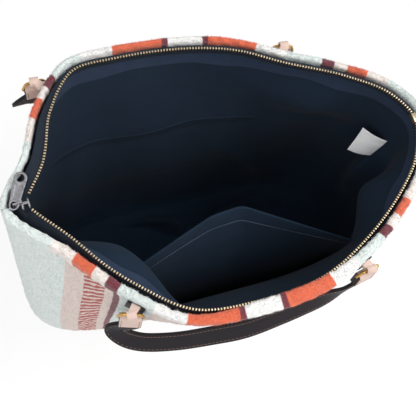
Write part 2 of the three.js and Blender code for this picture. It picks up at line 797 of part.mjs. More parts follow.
// Tab: a patch lying along the wool and a narrow loop round the ring's bar. The loop lies along the line
// between the handle's two rings, and its bore is pinched at the waist.
function ringTab(place, line) {
  const along = new THREE.Vector3().crossVectors(UP, place.wallOut);
  const patchTop = RIM_HEIGHT - RING_DROP + 2;
  const rows = steps(0, 1, 4);
  const sides = steps(-1, 1, 4);
  const patchPoint = (side, row, depth) => {
    const shift = (side * TAB_WIDTH) / 2 / mouthCurve.getLength();
    const z = patchTop - row * TAB_HEIGHT;
    return inside(place.u + shift, -2 * FIT_GAP - depth, z);
  };
  const rings = sides.map((side) => [
    ...rows.map((row) => patchPoint(side, row, 0)),
    ...rows.map((row) => patchPoint(side, row, TAB_THICKNESS)).reverse(),
  ]);
  const patch = loft(rings);
  const waist = RING_WIRE / 2 + FIT_GAP;
  const flare = waist + (LOOP_WIDTH / 2) * Math.tan(THREE.MathUtils.degToRad(LOOP_FLARE));
  const outer = flare + LOOP_LEATHER;
  const axis = new THREE.Quaternion().setFromUnitVectors(new THREE.Vector3(0, 1, 0), line);
  const barrel = new THREE.CylinderGeometry(outer, outer, LOOP_WIDTH, 12);
  barrel.applyQuaternion(axis).translate(place.spot.x, place.spot.y, place.spot.z);
  const bores = [-1, 1].map((side) => {
    const wide = flare + (flare - waist);
    const [top, bottom] = side > 0 ? [wide, waist] : [waist, wide];
    const bore = new THREE.CylinderGeometry(top, bottom, LOOP_WIDTH, 12);
    bore.translate(0, side * (LOOP_WIDTH / 2 - 0.05), 0);
    return bore.applyQuaternion(axis).translate(place.spot.x, place.spot.y, place.spot.z);
  });
  const back = wallPoint(place.u, place.z).addScaledVector(place.wallOut, FIT_GAP + TAB_THICKNESS / 2);
  const quad = (centre, across, high) => [[-1, -1], [1, -1], [1, 1], [-1, 1]].map(([x, y]) => centre.clone()
    .addScaledVector(across, (x * LOOP_WIDTH) / 2)
    .addScaledVector(UP, y * high));
  const frontAcross = line.dot(along) < 0 ? line.clone().negate() : line;
  const neck = loft([quad(back, along, outer * 0.8), quad(place.spot, frontAcross, outer * 0.7)]);
  return cut(unite([patch, neck, barrel]), bores);
}

// End piece: leather folded round the ring's outer bar, its two leaves holding the strap between them
const endInner = STRAP_THICKNESS / 2 + FIT_GAP;
const endOuter = endInner + END_LEATHER;

function endHang(place) {
  const angle = THREE.MathUtils.degToRad(END_ANGLE);
  return place.out.clone().multiplyScalar(Math.sin(angle)).addScaledVector(UP, -Math.cos(angle));
}

function outerBar(place) {
  return place.spot.clone().addScaledVector(ringHang(place), RING_REACH);
}

function endPiece(place) {
  const shape = new THREE.Shape();
  shape.moveTo(-endOuter, END_LENGTH);
  shape.lineTo(-endOuter, 0);
  shape.absarc(0, 0, endOuter, Math.PI, 2 * Math.PI, false);
  shape.lineTo(endOuter, END_LENGTH);
  shape.lineTo(endInner, END_LENGTH);
  shape.lineTo(endInner, 0);
  shape.absarc(0, 0, endInner, 2 * Math.PI, Math.PI, true);
  shape.lineTo(-endInner, END_LENGTH);
  const options = { depth: STRAP_WIDTH, bevelEnabled: false, curveSegments: 8 };
  const piece = new THREE.ExtrudeGeometry(shape, options).translate(0, 0, -STRAP_WIDTH / 2);
  const hang = endHang(place);
  const across = new THREE.Vector3().crossVectors(hang, place.bar);
  const frame = new THREE.Matrix4().makeBasis(across, hang, place.bar).setPosition(outerBar(place));
  return piece.applyMatrix4(frame);
}

// Strap: a ribbon between two end pieces, hanging in a bow that lies out from the bag
function handleStrap(left, right) {
  const mid = left.spot.clone().add(right.spot).multiplyScalar(0.5);
  const chord = right.spot.clone().sub(left.spot);
  const half = chord.length() / 2;
  chord.normalize();
  const out = new THREE.Vector3(chord.y, -chord.x, 0);
  if (out.dot(left.out) < 0) {
    out.negate();
  }
  const spot = (x, o, d) => mid.clone().addScaledVector(chord, x * half)
    .addScaledVector(out, o).addScaledVector(UP, -d);
  const startBar = outerBar(left);
  const endBar = outerBar(right);
  const lead = RING_WIRE / 2 + 0.8;
  const sleeve = END_LENGTH + 1;
  const bow = STRAP_DROP;
  const path = [
    startBar.clone().addScaledVector(endHang(left), lead),
    startBar.clone().addScaledVector(endHang(left), sleeve / 2),
    startBar.clone().addScaledVector(endHang(left), sleeve),
    startBar.clone().addScaledVector(endHang(left), sleeve + 3),
    spot(-1.12, 3, bow * 0.66),
    spot(-1.07, 9.5, bow * 0.81),
    spot(-0.93, 16.5, bow * 0.91),
    spot(-0.64, 21.5, bow * 0.98),
    spot(-0.28, 23, bow),
    spot(0, 23, bow * 0.98),
    spot(0.34, 18, bow * 0.88),
    spot(0.52, 14.5, bow * 0.79),
    spot(0.72, 11, bow * 0.7),
    spot(0.9, 7, bow * 0.6),
    endBar.clone().addScaledVector(endHang(right), sleeve + 3),
    endBar.clone().addScaledVector(endHang(right), sleeve),
    endBar.clone().addScaledVector(endHang(right), sleeve / 2),
    endBar.clone().addScaledVector(endHang(right), lead),
  ];
  const curve = new THREE.CatmullRomCurve3(path, false, 'centripetal');
  curve.arcLengthDivisions = 400;
  const tilt = out.clone().multiplyScalar(0.74).addScaledVector(UP, -0.67);
  const lengths = [0, 0.09, 0.3, 0.5, 0.7, 0.91, 1];
  const first = left.bar.clone().negate();
  const last = right.bar;
  const widths = [first, first, null, tilt, null, last, last];
  widths[2] = first.clone().add(tilt.clone().multiplyScalar(2)).normalize();
  widths[4] = last.clone().add(tilt.clone().multiplyScalar(2)).normalize();
  const widthAt = (share) => {
    const k = Math.max(1, lengths.findIndex((mark) => mark >= share));
    const t = (share - lengths[k - 1]) / (lengths[k] - lengths[k - 1]);
    return widths[k - 1].clone().lerp(widths[k], t * t * (3 - 2 * t));
  };
  const exit = (sleeve - lead) / curve.getLength();
  const columns = [0, ...steps(exit, 1 - exit, STRAP_COLUMNS), 1];
  const rings = columns.map((share) => {
    const middle = curve.getPointAt(share);
    const along = curve.getTangentAt(share);
    const wide = widthAt(share);
    wide.addScaledVector(along, -wide.dot(along)).normalize();
    const thick = new THREE.Vector3().crossVectors(along, wide);
    return [[-1, -1], [1, -1], [1, 1], [-1, 1]].map(([x, y]) => middle.clone()
      .addScaledVector(wide, (x * STRAP_WIDTH) / 2)
      .addScaledVector(thick, (y * STRAP_THICKNESS) / 2));
  });
  return loft(rings);
}

for (const side of ['front', 'back']) {
  const left = ringPlace(`${side}_left`);
  const right = ringPlace(`${side}_right`);
  const line = right.spot.clone().sub(left.spot).normalize();
  for (const [hand, place] of [['left', left], ['right', right]]) {
    addNode(`${side}_${hand}_tab`, ringTab(place, line), 'tan');
    addNode(`${side}_${hand}_ring`, ringWire(place), 'gold');
    addNode(`${side}_${hand}_end`, endPiece(place), 'tan');
  }
  addNode(`${side}_strap`, handleStrap(left, right), 'brown');
}

// The bag stands on its base with the middle of its overall box over the origin.
const overall = new THREE.Box3().setFromObject(bag);
const middle = overall.getCenter(new THREE.Vector3());
bag.children.forEach((mesh) => mesh.geometry.translate(-middle.x, -middle.y, 0));

export default bag;
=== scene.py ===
"""Open-topped wool tote bag: striped cloth, navy lining, brass zip and strap handles, in a plain studio."""
import logging
import math
from contextlib import contextmanager
from dataclasses import dataclass, field
from enum import Enum
from typing import Any, Callable, Dict, Iterator, List, Optional, Sequence, Tuple, Union

import bpy
import numpy as np
from mathutils import Matrix, Vector


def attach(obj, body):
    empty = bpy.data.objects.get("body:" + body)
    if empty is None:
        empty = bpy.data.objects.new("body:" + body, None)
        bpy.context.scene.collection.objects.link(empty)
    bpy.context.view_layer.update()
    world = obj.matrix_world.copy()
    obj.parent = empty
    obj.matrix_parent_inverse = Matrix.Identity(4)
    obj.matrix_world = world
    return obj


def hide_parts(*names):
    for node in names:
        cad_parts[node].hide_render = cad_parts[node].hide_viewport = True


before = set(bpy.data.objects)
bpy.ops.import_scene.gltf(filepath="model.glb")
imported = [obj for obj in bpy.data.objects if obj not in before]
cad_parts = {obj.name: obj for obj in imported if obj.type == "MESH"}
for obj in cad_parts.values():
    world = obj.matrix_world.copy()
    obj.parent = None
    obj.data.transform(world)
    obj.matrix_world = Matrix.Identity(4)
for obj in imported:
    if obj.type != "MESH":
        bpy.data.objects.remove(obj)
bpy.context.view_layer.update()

Array = np.ndarray
Piece = bpy.types.Object
Pair = Tuple[float, float]
Triple = Tuple[float, float, float]
Colour = Tuple[float, float, float, float]
Place = Callable[[Array, Array], Array]
MM: float = 0.001
FAR: float = 9999.0
TURN: float = 2.0 * math.pi
UP: Array = np.array([0.0, 0.0, 1.0])
log = logging.getLogger("tote_bag")


def paint(red: int, green: int, blue: int) -> Colour:
    """Turn a display colour into the linear one that a shader takes, by the sRGB formula.

    Args:
        red: Red, 0 to 255.
        green: Green, 0 to 255.
        blue: Blue, 0 to 255.

    Returns:
        The linear colour with full alpha.
    """
    shares = [channel / 255.0 for channel in (red, green, blue)]
    linear = [s / 12.92 if s <= 0.04045 else ((s + 0.055) / 1.055) ** 2.4 for s in shares]
    return (linear[0], linear[1], linear[2], 1.0)


def operator(operation: str, reflected: bool = False) -> Callable[..., "Shade"]:
    """Make a method of Shade that adds one Math node.

    Args:
        operation: The node's operation.
        reflected: True where Python hands the two values over in reverse.

    Returns:
        The method, whose second value stays 0 in an operation on one value.
    """

    def method(self: "Shade", other: "Value" = 0.0) -> "Shade":
        """Add the node."""
        first, second = (other, self) if reflected else (self, other)
        return self.net.node("ShaderNodeMath", {"operation": operation}, {0: first, 1: second})

    return method


class Shade:
    """A shader socket that takes part in Python expressions."""

    def __init__(self, net: "Net", socket: bpy.types.NodeSocket) -> None:
        """Hold the socket and the net that it belongs to."""
        self.net = net
        self.socket = socket

    __add__, __radd__ = operator("ADD"), operator("ADD", True)
    __sub__, __rsub__ = operator("SUBTRACT"), operator("SUBTRACT", True)
    __mul__, __rmul__ = operator("MULTIPLY"), operator("MULTIPLY", True)
    __truediv__, __rtruediv__ = operator("DIVIDE"), operator("DIVIDE", True)
    __mod__, __rmod__ = operator("FLOORED_MODULO"), operator("FLOORED_MODULO", True)
    __abs__ = operator("ABSOLUTE")
    sine = operator("SINE")
    most = operator("MAXIMUM")


Value = Union[float, Shade]


class Net:
    """The node tree of one material or of the world."""

    def __init__(self, owner: Any) -> None:
        """Empty the owner's node tree and keep it.

        Args:
            owner: The material or world.
        """
        owner.use_nodes = True
        self.tree = owner.node_tree
        self.tree.nodes.clear()

    def node(
        self,
        kind: str,
        settings: Optional[Dict[str, Any]] = None,
        sockets: Optional[Dict[Union[int, str], Any]] = None,
        output: Union[int, str] = 0,
    ) -> Shade:
        """Add a node of any kind.

        Args:
            kind: The node's type.
            settings: Its own settings, set first.
            sockets: Values or links of its inputs.
            output: Which output to hand back.

        Returns:
            The chosen output, or the first input of a node that has none.
        """
        made = self.tree.nodes.new(kind)
        for key, value in (settings or {}).items():
            setattr(made, key, value)
        for key, value in (sockets or {}).items():
            if isinstance(value, Shade):
                self.tree.links.new(value.socket, made.inputs[key])
            else:
                made.inputs[key].default_value = value
        return Shade(self, made.outputs[output] if len(made.outputs) else made.inputs[0])

    def object_point(self) -> Shade:
        """The point in the object's own frame, in metres."""
        return self.node("ShaderNodeTexCoord", output="Object")

    def cloth(self) -> Tuple[Shade, Shade]:
        """The piece's own cloth coordinates in millimetres: across, then along.

        Returns:
            The two sockets.
        """
        spot = self.node("ShaderNodeTexCoord", output="UV")
        across, along = (self.node("ShaderNodeSeparateXYZ", None, {0: spot}, axis) for axis in "XY")
        return across * (1.0 / MM), along * (1.0 / MM)

    def noise(self, per_metre: float, detail: float = 2.0, stretch: Triple = (1.0, 1.0, 1.0)) -> Shade:
        """Noise in the object's frame.

        Args:
            per_metre: Cells to a metre.
            detail: Finer layers on top.
            stretch: Scale along each axis, under 1 for long cells.

        Returns:
            A value round 0.5.
        """
        scaled = {0: self.object_point(), 1: stretch}
        point = self.node("ShaderNodeVectorMath", {"operation": "MULTIPLY"}, scaled)
        sockets = {"Vector": point, "Scale": per_metre, "Detail": detail, "Roughness": 0.6}
        return self.node("ShaderNodeTexNoise", None, sockets)

    def soft_step(self, value: Shade, edge: float, width: float) -> Shade:
        """A step from 0 to 1 at an edge, softened over a width."""
        sockets = {0: value, 1: edge - width / 2, 2: edge + width / 2}
        return self.node("ShaderNodeMapRange", {"interpolation_type": "SMOOTHSTEP"}, sockets)

    def band(self, value: Shade, low: float, high: float, width: float) -> Shade:
        """1 between two edges and 0 past them, softened over a width."""
        return self.soft_step(value, low, width) - self.soft_step(value, high, width)

    def mix(self, share: Value, first: Any, second: Any) -> Shade:
        """Blend two colours by a share."""
        return self.node("ShaderNodeMix", {"data_type": "RGBA"}, {0: share, 6: first, 7: second}, 2)

    def lit(self, colour: Any, value: Shade) -> Shade:
        """A colour made lighter or darker by a value round 1."""
        return self.node("ShaderNodeHueSaturation", None, {"Value": value, "Color": colour})

    def bump(self, height: Shade, strength: float, depth: float) -> Shade:
        """A normal from a height, of a strength and a depth in millimetres."""
        sockets = {"Strength": strength, "Distance": depth * MM, "Height": height}
        return self.node("ShaderNodeBump", None, sockets)

    def seen(self, *rays: str) -> Shade:
        """1 where one of the kinds of ray looks this way, else 0.

        Args:
            rays: Kinds of ray, such as Camera.

        Returns:
            The switch.
        """
        first, *others = [self.node("ShaderNodeLightPath", output=f"Is {ray} Ray") for ray in rays]
        for other in others:
            first = first.most(other)
        return first

    def surface(self, base: Any, rough: Value, normal: Shade, **fixed: float) -> None:
        """Close the net with one principled surface.

        Args:
            base: Colour or its socket.
            rough: Roughness or its socket.
            normal: Normal from a bump.
            fixed: Other sockets, by name with _ for spaces, each one value all over.
        """
        sockets = {"Base Color": base, "Roughness": rough, "Normal": normal}
        sockets.update({key.replace("_", " "): value for key, value in fixed.items()})
        shader = self.node("ShaderNodeBsdfPrincipled", None, sockets)
        self.node("ShaderNodeOutputMaterial", None, {"Surface": shader})


class Dye(Enum):
    """Yarn, leather and metal colours."""

    WHITE = (244, 243, 241)
    CREAM = (243, 234, 228)
    MINT = (223, 232, 229)
    BLUSH = (226, 208, 200)
    ORANGE = (228, 106, 70)
    MAROON = (116, 44, 57)
    RUST = (178, 54, 34)
    NAVY = (29, 42, 57)
    TAPE = (46, 58, 78)
    CHARCOAL = (37, 43, 52)
    SATIN = (248, 249, 250)
    TAN = (205, 180, 168)
    BROWN = (28, 25, 29)
    THREAD = (128, 104, 92)
    SLATE = (104, 118, 138)
    DARK_EDGE = (58, 44, 42)
    BRASS = (222, 203, 172)
    TARNISH = (104, 90, 72)
    NICKEL = (176, 176, 182)
    GOLD = (206, 160, 88)

    @property
    def colour(self) -> Colour:
        """The dye as a linear colour."""
        return paint(*self.value)


@dataclass(frozen=True)
class Finish:
    """One finish of the bag, made into a material the first time it is asked for."""

    name: str

    def material(self) -> bpy.types.Material:
        """The finish's material.

        Returns:
            The material, made at the first call.
        """
        found = bpy.data.materials.get(self.name)
        if found is not None:
            return found
        made = bpy.data.materials.new(self.name)
        self.mix(Net(made))
        return made

    def mix(self, net: Net) -> None:
        """Fill the material's node tree."""
        raise NotImplementedError


@dataclass(frozen=True)
class StripedWool(Finish):
    """Napped blanket cloth: upright stripes on each panel, mirrored about its middle, in millimetres."""

    hem_line: float = 278.0
    hem_blur: float = 2.0
    stripe_blur: float = 1.4
    dash_pitch: float = 10.4
    dash_slant: float = 1.15
    dash_band: Pair = (139.5, 160.0)
    dash_blur: float = 1.2
    dash_begin: float = 0.38
    dash_end: float = 0.96
    dash_fray: float = 2.4
    motif_reach: float = 66.0
    step_width: float = 11.0
    step_height: float = 12.0
    step_pitch: float = 96.0
    step_bars: Tuple[Tuple[float, float, Dye], ...] = ((24.0, 48.0, Dye.ORANGE), (48.0, 60.0, Dye.MAROON))
    rim_bands: Tuple[Tuple[float, Dye], ...] = (
        (16, Dye.WHITE), (21.5, Dye.MAROON), (66.5, Dye.ORANGE), (95, Dye.WHITE), (128, Dye.MINT),
        (140, Dye.MAROON), (153, Dye.CREAM), (172, Dye.ORANGE), (193, Dye.CREAM), (400, Dye.MINT),
    )
    face_bands: Tuple[Tuple[float, Dye], ...] = (
        (66, Dye.WHITE), (95, Dye.BLUSH), (125, Dye.MINT), (131, Dye.MAROON), (180, Dye.BLUSH),
        (400, Dye.MINT),
    )

    def mix(self, net: Net) -> None:
        """Stripes over the hem, plainer stripes with a dashed band on the face, and nap over all.

        Args:
            net: The material's net.
        """
        across, along = net.cloth()
        stray = (net.noise(900.0, 3.0) - 0.5) * 0.9 + (net.noise(70.0) - 0.5) * 2.4
        reach = abs(across) + stray
        level = along + stray
        face = self._steps(net, reach, level, self._bands(net, reach, self.face_bands))
        face = self._dashes(net, reach, level, face)
        on_hem = net.soft_step(level, self.hem_line, self.hem_blur)
        colour = net.mix(on_hem, face, self._bands(net, reach, self.rim_bands))
        mottle = net.noise(120.0, 4.0)
        felt = net.noise(420.0, 3.0)
        fibre = net.noise(1500.0, 5.0)
        speck = net.soft_step(net.noise(620.0), 0.6, 0.14)
        value = 0.68 + mottle * 0.24 + felt * 0.24 + fibre * 0.2 - speck * (1.0 - on_hem) * 0.16
        height = fibre * 0.4 + felt * 0.7 + mottle * 0.6 - speck * 0.3
        net.surface(
            net.lit(colour, value), 0.9 + fibre * 0.1, net.bump(height, 0.9, 2.6),
            Sheen_Weight=0.35, Sheen_Roughness=0.55, Specular_IOR_Level=0.15,
        )

    def _bands(self, net: Net, reach: Shade, bands: Sequence[Tuple[float, Dye]]) -> Shade:
        """Lay stripes side by side from the panel's middle outward.

        Args:
            net: The material's net.
            reach: Distance from the panel's middle.
            bands: Outer edge and dye of each stripe.

        Returns:
            The striped colour.
        """
        colour: Any = bands[0][1].colour
        for (edge, _), (_, dye) in zip(bands[:-1], bands[1:]):
            colour = net.mix(net.soft_step(reach, edge, self.stripe_blur), colour, dye.colour)
        return colour

    def _steps(self, net: Net, reach: Shade, level: Shade, ground: Shade) -> Shade:
        """Put stepped bars in the middle of the face.

        Args:
            net: The material's net.
            reach: Distance from the panel's middle.
            level: Height up the cloth.
            ground: Colour underneath.

        Returns:
            The colour with the bars.
        """
        tread = (reach - reach % self.step_width) / self.step_width
        climb = (level + tread * self.step_height) % self.step_pitch
        inside = 1.0 - net.soft_step(reach, self.motif_reach, self.stripe_blur)
        for low, high, dye in self.step_bars:
            ground = net.mix(inside * net.band(climb, low, high, self.stripe_blur), ground, dye.colour)
        return ground

    def _dashes(self, net: Net, reach: Shade, level: Shade, ground: Shade) -> Shade:
        """Put a band of short slanting dashes on the face.

        Args:
            net: The material's net.
            reach: Distance from the panel's middle.
            level: Height up the cloth.
            ground: Colour underneath.

        Returns:
            The colour with the dashes.
        """
        band = net.band(reach, *self.dash_band, self.dash_blur)
        ragged = (net.noise(300.0, 3.0) - 0.5) * self.dash_fray
        wave = (level + reach * self.dash_slant + ragged) % self.dash_pitch
        begun = net.soft_step(wave, self.dash_pitch * self.dash_begin, 1.6)
        ended = net.soft_step(wave, self.dash_pitch * self.dash_end, 0.9)
        return net.mix(band * (begun - ended), ground, Dye.RUST.colour)


@dataclass(frozen=True)
class Weave(Finish):
    """Plain cotton cloth with a fine diagonal or level rib, in millimetres."""

    dye: Dye = Dye.NAVY
    pitch: float = 1.1
    slant: float = 1.0
    depth: float = 0.25
    sheen: float = 0.03
    rough: float = 0.82
    facing: float = FAR
    crease: float = FAR
    crease_span: Pair = (650.0, 880.0)
    grain: float = 0.5

    def mix(self, net: Net) -> None:
        """A fine rib, threads across it, uneven dye, a facing sewn on along one edge, and a crease: a bump
        ridge with a painted highlight along its line and painted shade just below it.

        Args:
            net: The material's net.
        """
        across, along = net.cloth()
        turn = TURN / self.pitch
        rib = ((across * self.slant + along) * turn).sine() * 0.5 + 0.5
        thread = (across * (turn * 1.7)).sine() * 0.5 + 0.5
        cloud = net.noise(60.0, 3.0)
        lint = net.noise(2200.0)
        slub = net.noise(950.0) - 0.5
        fluff = net.soft_step(net.noise(520.0, 1.0), 0.76, 0.05)
        wave = along - self.crease - (across / 26.0).sine() * 4.0
        creased = net.band(across, *self.crease_span, 20.0)
        # The crease is a bump ridge, and its line is also painted lighter as a painted highlight.
        crease_ridge_and_highlight = (1.0 - net.soft_step(abs(wave), 0.7, 0.8)) * creased
        # Painted shade: a band just below the crease line is made darker.
        under = (net.soft_step(wave, -9.0, 9.0) - net.soft_step(wave, -0.4, 0.6)) * creased
        value = 0.72 + rib * 0.16 + cloud * 0.4 + lint * 0.12 + crease_ridge_and_highlight * 0.7 + fluff * 0.5
        value = value + slub * self.grain - under * 0.3
        ruffle = (across / 21.0).sine() * 1.6 + (across / 9.0).sine() * 0.8
        faced = net.soft_step(along + ruffle, self.facing, 0.6)
        ground = net.mix(faced, self.dye.colour, Dye.TAPE.colour)
        height = rib * 0.6 + thread * 0.25 + lint * 0.3 + faced * 2.0 + crease_ridge_and_highlight * 1.6
        net.surface(
            net.lit(ground, value), self.rough + lint * 0.1, net.bump(height, 0.55, self.depth),
            Sheen_Weight=self.sheen, Sheen_Roughness=0.5, Specular_IOR_Level=0.08,
        )


@dataclass(frozen=True)
class Metal(Finish):
    """Plated or solid metal with clouds of tarnish."""

    bright: Dye = Dye.BRASS
    smooth: float = 0.28
    patch: float = 420.0

    def mix(self, net: Net) -> None:
        """Clouds of tarnish and fine scratches over the bare metal.

        Args:
            net: The material's net.
        """
        cloud = net.noise(self.patch, 4.0)
        scratch = net.noise(2600.0, 3.0, (1.0, 0.15, 0.4))
        colour = net.mix(net.soft_step(cloud, 0.58, 0.3) * 0.6, self.bright.colour, Dye.TARNISH.colour)
        rough = self.smooth + cloud * 0.14 + scratch * 0.1
        net.surface(colour, rough, net.bump(scratch * 0.5 + cloud * 0.3, 0.15, 0.2), Metallic=1.0)


@dataclass(frozen=True)
class Leather(Finish):
    """Hide with a grain or a suede face, and painted edges where its own edge coordinate says."""

    dye: Dye = Dye.TAN
    edge: Dye = Dye.DARK_EDGE
    half_width: float = 9.5
    rim: float = 0.35
    grain: float = 1400.0
    nap: float = 0.4
    rough: float = 0.55
    sheen: float = 0.0

    def mix(self, net: Net) -> None:
        """Pebbled grain, scuffs, and an edge coat along both long sides.

        Args:
            net: The material's net.
        """
        across, _ = net.cloth()
        cloud = net.noise(110.0, 4.0)
        fine = net.noise(self.grain, 3.0)
        cells = {"Vector": net.object_point(), "Scale": self.grain * 0.6}
        pebble = net.node("ShaderNodeTexVoronoi", None, cells)
        value = 0.8 + cloud * 0.26 + fine * (0.2 * self.nap) + pebble * 0.08
        on_edge = net.soft_step(abs(across), self.half_width - self.rim, 0.3)
        colour = net.mix(on_edge, net.lit(self.dye.colour, value), self.edge.colour)
        height = pebble * 0.6 + fine * self.nap
        net.surface(
            colour, self.rough + cloud * 0.12, net.bump(height, 0.5, 0.35),
            Sheen_Weight=self.sheen, Sheen_Roughness=0.45, Specular_IOR_Level=0.3,
        )


@dataclass(frozen=True)
class Thread(Finish):
    """Twisted sewing thread."""

    dye: Dye = Dye.THREAD

    def mix(self, net: Net) -> None:
        """A fine twist with a little fluff.

        Args:
            net: The material's net.
        """
        twist = net.noise(3000.0, 2.0, (1.0, 0.5, 1.0))
        colour = net.lit(self.dye.colour, 0.7 + twist * 0.5)
        net.surface(colour, 0.7 + twist * 0.1, net.bump(twist, 0.4, 0.2), Specular_IOR_Level=0.3)


WOOL = StripedWool("wool_stripes")
LINING_CLOTH = Weave("lining_twill", facing=292.0, crease=206.0)
POCKET_CLOTH = Weave("pocket_twill", slant=-1.0)
TAPE_CLOTH = Weave("zip_tape_weave", dye=Dye.CHARCOAL, pitch=1.5, slant=0.0, depth=0.4)
LABEL_CLOTH = Weave(
    "label_satin", dye=Dye.SATIN, pitch=0.5, slant=0.0, depth=0.1, sheen=0.3, rough=0.5, grain=0.05
)
TOOTH_BRASS = Metal("tooth_brass", smooth=0.3, patch=700.0)
PULL_NICKEL = Metal("pull_nickel", bright=Dye.NICKEL, smooth=0.26)
RING_GOLD = Metal("ring_gold", bright=Dye.GOLD, smooth=0.18, patch=300.0)
TAN_HIDE = Leather("tan_hide")
BROWN_SUEDE = Leather(
    "brown_suede", dye=Dye.BROWN, edge=Dye.BROWN, grain=2000.0, nap=1.0, rough=0.82, sheen=0.08
)
TAB_HIDE = Leather("tab_hide", edge=Dye.BROWN, half_width=8.0)
BROWN_THREAD = Thread("brown_thread")
DARK_THREAD = Thread("dark_thread", dye=Dye.DARK_EDGE)
SLATE_THREAD = Thread("slate_thread", dye=Dye.SLATE)


class Bench:
    """Modelling steps, each one or two of Blender's own operators. Lengths are in millimetres."""

    @staticmethod
    def clear() -> None:
        """Leave edit mode and deselect everything."""
        if bpy.context.mode != "OBJECT":
            bpy.ops.object.mode_set(mode="OBJECT")
        bpy.ops.object.select_all(action="DESELECT")

    @staticmethod
    def pick(piece: Piece) -> None:
        """Make a piece the only one selected.

        Args:
            piece: The piece.
        """
        Bench.clear()
        piece.select_set(True)
        bpy.context.view_layer.objects.active = piece

    @staticmethod
    def add(shape: Callable[..., Any], name: str, **settings: Any) -> Piece:
        """Add a shape with one of Blender's operators, and name it.

        Args:
            shape: The operator.
            name: The piece's name.
            settings: The operator's settings.

        Returns:
            The piece.
        """
        Bench.clear()
        shape(**settings)
        piece = bpy.context.active_object
        piece.name = name
        piece.data.name = name
        return piece

    @staticmethod
    def linked(name: str, data: bpy.types.ID) -> Piece:
        """Put a mesh, lamp or camera into the scene.

        Args:
            name: The object's name.
            data: The mesh, lamp or camera.

        Returns:
            The object.
        """
        piece = bpy.data.objects.new(name, data)
        bpy.context.scene.collection.objects.link(piece)
        return piece

    @staticmethod
    @contextmanager
    def editing(piece: Piece) -> Iterator[None]:
        """Work in edit mode, with all of a piece selected.

        Args:
            piece: The piece.
        """
        Bench.pick(piece)
        bpy.ops.object.mode_set(mode="EDIT")
        bpy.ops.mesh.select_all(action="SELECT")
        yield
        bpy.ops.object.mode_set(mode="OBJECT")

    @staticmethod
    def points(piece: Piece) -> Array:
        """The points of a piece's mesh in metres.

        Args:
            piece: The piece.

        Returns:
            One row for each point.
        """
        flat = np.empty(len(piece.data.vertices) * 3)
        piece.data.vertices.foreach_get("co", flat)
        return flat.reshape(-1, 3)

    @staticmethod
    def lay(piece: Piece, spots: Array) -> None:
        """Move the points of a piece's mesh to spots."""
        piece.data.vertices.foreach_set("co", (spots * MM).ravel())
        piece.data.update()

    @staticmethod
    def sheet(name: str, columns: int, rows: int, place: Place, flat: Place, closed: bool = False) -> Piece:
        """Lay a grid out as cloth.

        Args:
            name: The piece's name.
            columns: Steps across.
            rows: Steps along.
            place: Points from shares across and along.
            flat: Cloth coordinates from the same shares.
            closed: True where the first and last columns meet and are sewn into one.

        Returns:
            The piece, one layer thick.
        """
        piece = Bench.add(
            bpy.ops.mesh.primitive_grid_add, name,
            x_subdivisions=columns, y_subdivisions=rows, size=1.0, calc_uvs=True,
        )
        layer = piece.data.uv_layers.active.data
        marks = np.empty(len(layer) * 2)
        layer.foreach_get("uv", marks)
        marks = np.clip(marks.reshape(-1, 2), 0, 1)
        layer.foreach_set("uv", (flat(marks[:, 0], marks[:, 1]) * MM).ravel())
        spots = np.clip(Bench.points(piece) + 0.5, 0, 1)
        Bench.lay(piece, place(spots[:, 0], spots[:, 1]))
        if closed:
            Bench.merge(piece, 0.01)
        return piece

    @staticmethod
    def merge(piece: Piece, reach: float) -> None:
        """Join points that lie within a reach of each other."""
        with Bench.editing(piece):
            bpy.ops.mesh.remove_doubles(threshold=reach * MM)

    @staticmethod
    def modify(piece: Piece, kind: str, **settings: Any) -> None:
        """Add a modifier with its settings and apply it.

        Args:
            piece: The piece.
            kind: The modifier's type.
            settings: Its settings.
        """
        Bench.pick(piece)
        modifier = piece.modifiers.new(kind.title(), kind)
        for key, value in settings.items():
            setattr(modifier, key, value)
        bpy.ops.object.modifier_apply(modifier=modifier.name)

    @staticmethod
    def thicken(piece: Piece, thickness: float, offset: float = 0.0) -> None:
        """Give a sheet its thickness, to both sides alike or against its normals by an offset of -1."""
        Bench.modify(piece, "SOLIDIFY", thickness=thickness * MM, offset=offset, use_even_offset=False)

    @staticmethod
    def round_edges(piece: Piece, width: float, segments: int, angle: float) -> None:
        """Round the edges that are sharper than an angle in degrees.

        Args:
            piece: The piece.
            width: Width of the rounding.
            segments: Faces across it.
            angle: The angle.
        """
        Bench.modify(
            piece, "BEVEL", width=width * MM, segments=segments, limit_method="ANGLE",
            angle_limit=math.radians(angle), use_clamp_overlap=True,
        )

    @staticmethod
    def from_node(name: str, node: str) -> Piece:
        """Copy a CAD node's mesh as a merged piece of its own, with flat faces made whole.

        Args:
            name: The piece's name.
            node: The CAD node.

        Returns:
            The copy.
        """
        Bench.clear()
        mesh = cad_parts[node].data.copy()
        mesh.name = name
        mesh.materials.clear()
        piece = Bench.linked(name, mesh)
        Bench.merge(piece, 0.02)
        with Bench.editing(piece):
            bpy.ops.mesh.customdata_custom_splitnormals_clear()
            bpy.ops.mesh.dissolve_limited(angle_limit=math.radians(2.0))
        return piece

    @staticmethod
    def mark(piece: Piece, across: Callable[[Array], Array]) -> None:
        """Give each face a cloth coordinate across, worked out from the face's middle.

        Args:
            piece: The piece.
            across: The coordinate, from middles in millimetres.
        """
        middles = np.empty(len(piece.data.polygons) * 3)
        piece.data.polygons.foreach_get("center", middles)
        marks = across(middles.reshape(-1, 3) / MM)
        layer = piece.data.uv_layers.active or piece.data.uv_layers.new(name="cloth")
        for face, value in zip(piece.data.polygons, marks):
            for corner in face.loop_indices:
                layer.data[corner].uv = (value * MM, 0.0)

